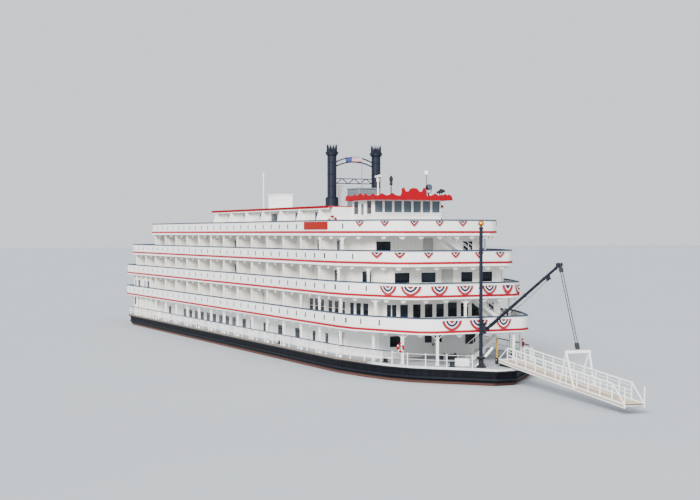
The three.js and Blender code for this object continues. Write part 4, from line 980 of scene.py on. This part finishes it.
# Searchlight: a black drum in a yoke, with a clear lens.
lens = Vector((21.6, 2.2, 17.85))
shapes = [
    turned([(-0.25, 0.1), (-0.2, 0.2), (-0.1, 0.25), (0.22, 0.26), (0.25, 0.24)], lens, (1, 0, 0), 16),
    turned([(0, 0.14), (0.05, 0.14), (0.05, 0.07), (0.5, 0.06)], (lens.x, lens.y, wheelhouse_top)),
    pipe([lens + Vector((0, y, z)) for y, z in (
        (-0.28, 0), (-0.3, -0.35), (-0.15, -0.5), (0.15, -0.5), (0.3, -0.35), (0.28, 0))], 0.03, 6),
    # The lens wears the glass with painted light and sky reflection.
    turned([(0.25, 0.22), (0.27, 0.2)], lens, (1, 0, 0), 16, 1),
]
made = piece("searchlight_drum", shapes, [black_enamel, glass_with_painted_light])
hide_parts("searchlight")
# Air horns beside the searchlight: three spun trumpets on a bracket.
shapes = []
for i, (y, length) in enumerate(((3.0, 0.7), (3.22, 0.55), (3.44, 0.42))):
    shapes.append(turned([(0, 0.04), (0.1, 0.04), (length * 0.7, 0.06), (length * 0.92, 0.1),
                          (length, 0.15)], (21.7, y, 17.45), (1, 0, 0.15), 10))
shapes.append(block(21.74, 21.82, 2.92, 3.52, 17.3, 17.42))
shapes.append(pipe([(21.78, 3.22, wheelhouse_top - 0.01), (21.78, 3.22, 17.35)], 0.04, 6))
piece("air_horns", shapes, [black_enamel])

# Stairs. Pairs of steel strings with pressed treads between them, in white enamel, bolted at their
# head and foot to two decks, with a pipe handrail each side.
wear(white_enamel, "stair_to_deck_2", "stair_to_deck_3", "stair_to_deck_5")
steps = 12
for deck, x, foot, head in (("deck_2", 30.4, 1.2, 4.6), ("deck_3", 30.4, 4.6, 1.2),
                            ("deck_5", 27.2, 3.5, -0.1)):
    low, high = floor_below[deck], deck_tops[deck][0]
    rise = (high - low) / steps
    going = (head - foot) / steps
    way = 1 if going > 0 else -1
    shapes = []
    for side in (-0.48, 0.45):
        outline = [(x + side, foot - way * 0.1, low), (x + side, foot + way * 0.25, low),
                   (x + side, head - going, high - rise - 0.25), (x + side, head - going, high - rise),
                   (x + side, foot - way * 0.02, low + rise * 1.1)]
        shapes.append(board(outline, (0.03, 0, 0)))
    for side in (-0.46, 0.46):
        for up in (0.5, 0.95):
            shapes.append(pipe([(x + side, foot, low + rise + up),
                                (x + side, head - going * 2, high - rise * 2 + up)], 0.025, 6))
        for i in range(0, steps - 1, 2):
            y = foot + going * (i + 0.5)
            z = low + rise * (i + 1)
            shapes.append(pipe([(x + side, y, z), (x + side, y, z + 0.97)], 0.022, 6))
    for i in range(1, steps):
        y = foot + going * (i - 1)
        shapes.append(block(x - 0.45, x + 0.45, *sorted((y - way * 0.03, y + way * 0.03)),
                            low + rise * i, low + rise * i + 0.012, 1))
    piece(f"stair_to_{deck}_rails", shapes, [white_enamel, grey_enamel])

# Derrick. A tubular mast with a gilt ball, and a boom on a gooseneck that lifts the landing stage,
# in navy enamel. The steel wires are greased and look black.
wear(navy_enamel, "mast", "gooseneck", "boom")
# Copper ball under worn gold leaf: warm metal, dulled and patchy.
gilt, tree, surface, place = new_finish("weathered gold leaf")
leaf = add_node(tree, "ShaderNodeTexNoise", {"Vector": place, "Scale": scale_of(16.67), "Detail": 4})
tree.links.new(blend_colours(tree, leaf.outputs["Fac"], "#b5651d", "#e09a3c"), surface["Base Color"])
surface["Metallic"].default_value = 1
surface["Roughness"].default_value = 0.38
wear(gilt, "mast_ball")
mast_x = 34.35
shapes = []
for z in (main_deck, 5.7, 6.8, 9.4, 12.2, 14.1):
    shapes.append(turned([(0, 0.15), (0.02, 0.18), (0.1, 0.18), (0.12, 0.15)], (mast_x, 0, z), sides=16))
shapes.append(turned([(0, 0.34), (0.06, 0.34), (0.06, 0.22), (0.2, 0.16)], (mast_x, 0, main_deck),
                     sides=16))
# Steps up the mast's after side, each a bent bar.
for i in range(30):
    z = 4.6 + i * 0.3
    shapes.append(pipe([(mast_x + x, y, z) for x, y in (
        (-0.11, -0.12), (-0.21, -0.12), (-0.21, 0.12), (-0.11, 0.12))], 0.015, 5))
piece("mast_bands", shapes, [navy_enamel])

slew = math.radians(-0.279)
luff = math.radians(27.4)
pin = Vector((35.27, -0.002, 6.3))
boom_along = Vector((math.cos(luff) * math.cos(slew), math.cos(luff) * math.sin(slew), math.sin(luff)))
boom_up = Vector((-math.sin(luff), 0, math.cos(luff)))
boom_side = boom_up.cross(boom_along)


def on_boom(along, up=0.0, side=0.0):
    """A place on the boom, from its pin."""
    return tuple(pin + boom_along * along + boom_up * up + boom_side * side)


shapes = []
for at, radius in ((0.6, 0.17), (3.2, 0.155), (6.1, 0.145), (9.0, 0.13), (10.7, 0.125)):
    shapes.append(turned([(0, radius - 0.03), (0.03, radius), (0.12, radius), (0.15, radius - 0.03)],
                         on_boom(at), boom_along, 14))
shapes.append(pipe([on_boom(0.9, -0.16), on_boom(3, -0.3), on_boom(6, -0.42), on_boom(9.5, -0.3)],
                   0.018, 6, 1))
shapes.append(pipe([on_boom(9.45, -0.31, -0.1), on_boom(9.75, -0.31, 0.1)], 0.06, 8))
for side in (-0.09, 0.09):
    shapes.append(turned([(-0.04, 0.05), (-0.04, 0.12), (0, 0.1), (0.04, 0.12), (0.04, 0.05)],
                         on_boom(11.2, 0.1, side), boom_side, 14))
# Greased wire rope: black with a low shine, broken by its lay.
wire, tree, surface, place = new_finish("greased steel wire")
lay = add_node(tree, "ShaderNodeTexNoise", {"Vector": place, "Scale": scale_of(3.33), "Detail": 2})
tree.links.new(blend_colours(tree, lay.outputs["Fac"], "#222426", "#45484a"), surface["Base Color"])
surface["Metallic"].default_value = 0.6
surface["Roughness"].default_value = 0.5
raise_surface(tree, surface, lay.outputs["Fac"], 0.4, 0.0005)
piece("boom_fittings", shapes, [navy_enamel, wire], body="boom")
wear(wire, "hoist_fall")

# Landing stage. A welded aluminium gangway in white paint with a sand-coloured non-slip walkway
# and three rails a side. Its steel turntable and lifting frame carry it on the foredeck.
wear(black_enamel, "stage_pedestal", "stage_turntable")
wear(white_enamel, "landing_stage", "stage_lifting_frame")
stage_yaw = math.radians(-6.8)
stage_pitch = math.radians(3.4)
stage_pin = Vector((36.1, 1.3, 3.9))
stage_along = Vector((math.cos(stage_pitch) * math.cos(stage_yaw),
                      math.cos(stage_pitch) * math.sin(stage_yaw), -math.sin(stage_pitch)))
stage_side = Vector((-math.sin(stage_yaw), math.cos(stage_yaw), 0))
stage_up = stage_along.cross(stage_side)


def on_stage(along, side, up):
    """A place on the landing stage, from its pin."""
    return tuple(stage_pin + stage_along * along + stage_side * side + stage_up * up)


def stage_block(along, side, up, finish=0):
    """A block that lies square to the landing stage."""
    points = [on_stage(a, s, u) for a in along for s in side for u in up]
    return points, block_faces, finish


# Grit-filled deck coating: sand-coloured and dead matt, with dirt in patches. The grit is at its
# real size here too.
walkway_coating, tree, surface, place = new_finish("sand-coloured walkway coating")
tread = add_node(tree, "ShaderNodeTexNoise", {"Vector": place, "Scale": scale_of(83.3), "Detail": 5})
grains = add_node(tree, "ShaderNodeTexNoise", {"Vector": place, "Scale": scale_of(1.25), "Detail": 1})
tree.links.new(blend_colours(tree, tread.outputs["Fac"], "#c9b9a2", "#a99a86"), surface["Base Color"])
surface["Roughness"].default_value = 0.9
raise_surface(tree, surface, grains.outputs["Fac"], 0.4, 0.0005)
stage_length = 19.3
shapes = [stage_block((0.1, stage_length - 0.05), (-0.68, 0.68), (0.0, 0.02), 1)]
for i in range(1, 48):
    shapes.append(stage_block((i * 0.4, i * 0.4 + 0.05), (-0.66, 0.66), (0.02, 0.05), 1))
for side in (-0.72, 0.72):
    for up in (0.38, 0.92):
        shapes.append(pipe([on_stage(1.6, side, up), on_stage(stage_length - 1.6, side, up)], 0.02, 6))
    shapes.append(pipe([on_stage(1.6, side, 1.17), on_stage(stage_length - 1.6, side, 1.17)], 0.04, 8))
    sunk = side + (0.035 if side > 0 else -0.04)
    shapes.append(stage_block((0.0, stage_length - 0.1), (sunk, sunk + 0.005), (-0.12, 0.02), 1))
for i in range(1, 12):
    shapes.append(stage_block((i * 1.6 + 0.01, i * 1.6 + 0.05), (-0.7, 0.7), (-0.19, -0.11)))
shapes.append(stage_block((stage_length - 0.05, stage_length), (-0.66, 0.66), (-0.1, 0.06), 2))
piece("stage_walkway", shapes, [white_enamel, walkway_coating, black_enamel], body="stage")

# Paddle wheel. Oak boards bolted to steel spiders, all in red enamel gone dull with silt, on a
# greased shaft in pillow blocks at the ends of two timber arms.
# Red lead enamel on wet oak: deep and dull, browned by silt, with grain along each board.
wheel_red, tree, surface, place = new_finish("silted red wheel enamel")
grain = add_node(tree, "ShaderNodeTexNoise", {
    "Vector": add_node(tree, "ShaderNodeMapping", {"Vector": place, "Scale": (1, 0.08, 1)}).outputs[0],
    "Scale": scale_of(11.11), "Detail": 4})
tone = blend_colours(tree, grain.outputs["Fac"], "#a3192a", "#7c1722")
patches = add_node(tree, "ShaderNodeTexNoise", {"Vector": place, "Scale": scale_of(143), "Detail": 4})
silted = add_node(tree, "ShaderNodeMapRange", {0: patches.outputs["Fac"], 1: 0.5, 2: 0.8, 4: 0.5})
tree.links.new(blend_colours(tree, silted.outputs[0], tone, "#6d4a3c"), surface["Base Color"])
surface["Roughness"].default_value = 0.6
raise_surface(tree, surface, grain.outputs["Fac"], 0.3, 0.0008)
# Turned steel under grease: grey and slick with darker smears.
greased_steel, tree, surface, place = new_finish("greased bright steel")
smear = add_node(tree, "ShaderNodeTexNoise", {"Vector": place, "Scale": scale_of(25), "Detail": 4})
tree.links.new(blend_colours(tree, smear.outputs["Fac"], "#8c8d8a", "#5d5c56"), surface["Base Color"])
surface["Metallic"].default_value = 1
surface["Roughness"].default_value = 0.35
wear(wheel_red, "paddle_wheel", "wheel_arm_starboard", "wheel_arm_port")
wear(greased_steel, "wheel_shaft_starboard", "wheel_shaft_port")
hub = Vector((-45.6, 0, 5.1))
spokes = 14
shapes = []
for y in (-4.15, 0, 4.15):
    for face in (-1, 1):
        shapes.append(turned([(0.15, 0.5), (0.19, 0.48), (0.19, 0.3)], hub + Vector((0, y, 0)),
                             (0, face, 0), 20))
        for i in range(spokes):
            turn = 2 * math.pi * (i + 0.5) / spokes
            place = hub + Vector((0.42 * math.cos(turn), y, 0.42 * math.sin(turn)))
            shapes.append(turned([(0.19, 0.04), (0.23, 0.035)], place, (0, face, 0), 6))
    for i in range(spokes):
        turn = 2 * math.pi * i / spokes
        out = Vector((math.cos(turn), 0, -math.sin(turn)))
        flat = Vector((math.sin(turn), 0, math.cos(turn)))
        for reach in (3.55, 3.85, 4.08):
            for side in (-0.18, 0.18):
                foot = hub + Vector((0, y + side, 0)) + out * reach + flat * 0.08
                shapes.append(turned([(0, 0.05), (0.03, 0.04)], foot, flat, 6))
piece("paddle_wheel_bolts", shapes, [black_enamel], body="wheel")
shapes = []
for way in (-1, 1):
    y0, y1 = sorted((way * 4.72, way * 5.08))
    shapes.append(block(hub.x - 0.5, hub.x + 0.5, y0, y1, 5.8, 5.92))
    shapes.append(turned([(y0, 0.36), (y1, 0.36)], (hub.x, 0, 5.86), (0, 1, 0), 16))
    for x in (hub.x - 0.38, hub.x + 0.38):
        shapes.append(turned([(0, 0.06), (0.1, 0.05)], (x, way * 4.9, 5.92), sides=6))
piece("wheel_bearing_caps", shapes, [black_enamel])

# Sign board and life rings. The board on the starboard rail of deck 5 is bare orange-red enamel in
# a red beading. The rings are painted cork, red and white, held in clips.
board_edge = deck_edge("deck_5")
start, end = board_edge.reach(17.5), board_edge.reach(21.9)
board_low, board_high, bead = 14.15, 14.72, 0.05
marks = board_edge.marks(start, end)
shapes = [strip(board_edge, marks, -0.02, 0.03, board_low, board_high)]
for low, high in ((board_high, board_high + bead), (board_low - bead, board_low)):
    shapes.append(strip(board_edge, marks, -0.03, 0.03, low, high, 1))
for marks in ((start - bead, start), (end, end + bead)):
    shapes.append(strip(board_edge, marks, -0.03, 0.03, board_low - bead, board_high + bead, 1))
sign_paint = enamel("orange-red sign enamel", "#92160a", "#871509", "#6e170d", 0.5, 0.15, 0.15)
piece("name_board_blank", shapes, [sign_paint, red_enamel])


def life_ring(centre, out, radius=0.3, thick=0.085):
    """A ring of cork with four white bands. out is the way it faces."""
    centre, out = Vector(centre), Vector(out).normalized()
    side = out.orthogonal().normalized()
    up = out.cross(side)
    points, faces, wears = [], [], []
    turns, rounds = 32, 8
    for i in range(turns):
        turn = 2 * math.pi * i / turns
        spoke = side * math.cos(turn) + up * math.sin(turn)
        for j in range(rounds):
            roll = 2 * math.pi * j / rounds
            points.append(tuple(centre + spoke * (radius + thick * math.cos(roll))
                                + out * thick * math.sin(roll)))
    for i in range(turns):
        for j in range(rounds):
            k, l = (i + 1) % turns, (j + 1) % rounds
            faces.append((i * rounds + j, k * rounds + j, k * rounds + l, i * rounds + l))
            wears.append(1 if i % 8 < 2 else 0)
    return points, faces, wears


shapes = []
for way in (-1, 1):
    shapes.append(life_ring((17.72, way * 5.36, 14.98), (1, way * 0.2, 0)))
    shapes.append(block(17.59, 17.68, *sorted((way * 5.02, way * 5.14)), 14.9, 15.06))
    shapes.append(life_ring((31.5, way * 5.67, 4.7), (0.3, way, 0)))
piece("life_rings", shapes, [red_enamel, white_enamel])


# Bunting. Half-round fans of pleated cotton in red, white and blue, tied by their straight top edge
# under the handrails of the fore part of each deck.
# Dyed cotton muslin: soft and dull, with a faint weave, which is also at its real size, and darker patches
# of painted shade for its folds.
def cotton(name, colour, painted_fold_shade):
    finish, tree, surface, place = new_finish(name)
    painted_fold_shade_patches = add_node(tree, "ShaderNodeTexNoise", {"Vector": place, "Scale": scale_of(40), "Detail": 3})
    weave = add_node(tree, "ShaderNodeTexNoise", {"Vector": place, "Scale": scale_of(1.11), "Detail": 1})
    # The darker colour in the noise patches is painted shade for the folds of the cloth.
    tree.links.new(blend_colours(tree, painted_fold_shade_patches.outputs["Fac"], colour, painted_fold_shade), surface["Base Color"])
    surface["Roughness"].default_value = 0.9
    surface["Sheen Weight"].default_value = 0.1
    raise_surface(tree, surface, weave.outputs["Fac"], 0.3, 0.0003)
    return finish


red_cotton = cotton("red cotton muslin", "#a00822", "#800a1c")
white_cotton = cotton("white cotton muslin", "#f2efec", "#dcd6d2")
blue_cotton = cotton("blue cotton muslin", "#141d40", "#0e1530")
# The rings of a fan, from and to as a share of its radius, with the colour of each.
fan_rings = [(0.0, 0.26, 0), (0.26, 0.38, 1), (0.38, 0.62, 2), (0.62, 0.74, 1), (0.74, 1.0, 0)]
small_fan_rings = [(0.0, 0.42, 2), (0.42, 0.56, 1), (0.56, 1.0, 0)]
fan_pleats = 14


def bunting(name, edge, at, width, deep, top, droop):
    """One fan, hung on the outside of a rail at a distance along its edge. It is a half-round with
    no droop, and a V with a droop of 1."""
    radius = width / 2
    bands = small_fan_rings if width < 1.3 else fan_rings
    rings = sorted({a for a, b, wears in bands} | {1.0} | {0.14, 0.5, 0.68, 0.87})
    points, faces, wears = [], [], []
    steps = fan_pleats * 2
    for ring in rings:
        for i in range(steps + 1):
            turn = math.pi * i / steps
            aside = -math.cos(turn) * radius * ring
            down = ((1 - droop) * math.sin(turn) + droop * (1 - abs(math.cos(turn)))) * deep * ring
            place, inwards = edge.at(at + aside)
            ripple = 0.045 + (0.035 if i % 2 else -0.02) * ring
            points.append((place.x - inwards.x * ripple, place.y - inwards.y * ripple, top - down))
    for r, (a, b) in enumerate(zip(rings, rings[1:])):
        colour = next(w for low, high, w in bands if low <= (a + b) / 2 <= high)
        for i in range(steps):
            first = r * (steps + 1) + i
            faces.append((first, first + 1, first + steps + 2, first + steps + 1))
            wears.append(colour)
    made = piece(name, [(points, faces, wears)], [red_cotton, white_cotton, blue_cotton], closed=False)


# For each deck, the height of the fans' top edge above its floor, their depth and their droop. Then
# the distance from the middle of the bow along the edge, to port if positive, and each fan's width.
fan_places = {
    "deck_5": (0.93, 0.46, 0.75, [(-8.38, 0.9), (-5.73, 0.85), (-3.14, 0.8), (-0.79, 0.75), (1.41, 0.8),
                                (6.2, 0.85), (8.8, 0.9)]),
    "deck_4": (0.9, 0.5, 0.65, [(-7.6, 1.25), (-5.3, 0.9), (-2.79, 0.85), (-0.3, 0.85), (1.9, 0.8),
                                 (3.92, 0.85), (6.6, 0.9)]),
    "deck_3": (0.8, 0.8, 0.25, [(-7.21, 1.7), (-5.05, 1.7), (-2.56, 1.55), (-0.22, 1.5), (2.06, 1.35),
                                (3.78, 1.0), (5.35, 1.4), (7.6, 1.6)]),
    "deck_2": (0.82, 0.82, 0.2, [(-2.43, 1.75), (-0.02, 1.65), (2.28, 1.4)]),
}
for deck, (height, deep, droop, fans) in fan_places.items():
    whole = around(deck_edge(deck))
    for number, (away, width) in enumerate(fans):
        bunting(f"{deck}_fan_{number}", whole, whole.length / 2 + away, width, deep,
                deck_tops[deck][0] + height, droop)

# Flag. A small cotton flag at the stern staff, plain red with a white fly. It droops in still air,
# so that the fly hangs in folds.
wear(white_enamel, "flagstaff")
staff_x, flag_head = -40.36, 11.8
flag_width, flag_length = 0.9, 1.3
columns, rows = 18, 8
points, faces, wears = [], [], []
for i in range(columns + 1):
    part = i / columns
    for j in range(rows + 1):
        sunk = j / rows * flag_width + flag_length * 0.62 * part ** 1.25
        points.append((staff_x - part * flag_length * 0.42,
                       0.16 * math.sin(part * 7.5) * (0.4 + part), flag_head - sunk))
for i in range(columns):
    for j in range(rows):
        first = i * (rows + 1) + j
        faces.append((first, first + 1, first + rows + 2, first + rows + 1))
        wears.append(0 if i < columns // 2 else 1)
made = piece("stern_flag", [(points, faces, wears)], [red_cotton, white_cotton], closed=False)

# Foredeck gear. Cast bitts, an anchor winch and a capstan in black and grey, a yellow post, and a
# white strut and locker beside the landing stage, all bolted to the deck.
wear(black_enamel, "capstan")
shapes = []
for x, y in [(x, way * aside) for x, aside in (
        (35.1, 3.0), (29.5, 6.0), (-30.6, 7.3), (10.0, 7.3), (-14.0, 7.3)) for way in (-1, 1)]:
    shapes.append(block(x - 0.36, x + 0.36, y - 0.14, y + 0.14, main_deck, main_deck + 0.05))
    for step in (-0.2, 0.2):
        shapes.append(turned([(0, 0.09), (0.3, 0.09), (0.32, 0.13), (0.38, 0.13), (0.4, 0.1)],
                             (x + step, y, main_deck + 0.05)))
    shapes.append(pipe([(x - 0.34, y, 3.62), (x + 0.34, y, 3.62)], 0.04, 8))
piece("mooring_bitts", shapes, [black_enamel])
# Winch: a steel bed and two cheeks that carry a drum with two warping heads.
shapes = [block(32.2, 33.2, -2.6, -1.2, main_deck, 3.5), block(32.3, 33.1, -2.55, -2.45, 3.5, 4.15),
          block(32.3, 33.1, -1.35, -1.25, 3.5, 4.15),
          turned([(-0.9, 0.14), (-0.75, 0.14), (-0.72, 0.2), (-0.52, 0.12), (-0.5, 0.3), (-0.46, 0.3),
                  (-0.46, 0.2), (0.46, 0.2), (0.46, 0.3), (0.5, 0.3), (0.52, 0.12), (0.72, 0.2),
                  (0.75, 0.14), (0.9, 0.14)], (32.7, -1.9, 3.95), (0, 1, 0), 16, 1)]
piece("foredeck_winch", shapes, [grey_enamel, black_enamel])
# Safety-yellow enamel on a steel post, with soft shine and brown streaks.
yellow_enamel = enamel("safety yellow enamel", "#c89a08", "#b88c08", "#7a6412", 0.45, 0.3, 0.3)
piece("crowd_post", [turned([(0, 0.13), (0.04, 0.13), (0.04, 0.06), (1.9, 0.06), (1.96, 0.03)],
                            (33.0, 2.3, main_deck))], [yellow_enamel])
shapes = [pipe([(35.5, -1.0, 3.45), (35.9, 0.15, 4.85)], 0.1, 10),
          turned([(0, 0.2), (0.08, 0.2), (0.08, 0.12)], (35.5, -1.0, main_deck)),
          block(33.9, 34.8, -2.1, -1.3, main_deck, 3.95)]
piece("stage_strut_and_locker", shapes, [white_enamel])
# Stanchions with two wires round the bow, where the rail stops. The port side is left open for the
# landing stage.
shapes = []
for way, posts in ((-1, [(31.5, 6.42), (32.85, 5.75), (34.1, 4.82), (35.4, 3.66), (36.87, 2.24)]),
                   (1, [(31.5, 6.42), (32.85, 5.75), (34.1, 4.82)])):
    for x, y in posts:
        shapes.append(turned([(0, 0.09), (0.03, 0.09), (0.04, 0.04), (0.98, 0.035), (1.02, 0.05),
                              (1.05, 0.02)], (x, way * y, main_deck), sides=8))
    for up in (0.55, 0.97):
        shapes.append(pipe([(x, way * y, main_deck + up) for x, y in posts], 0.014, 5))
piece("bow_stanchions", shapes, [white_enamel])
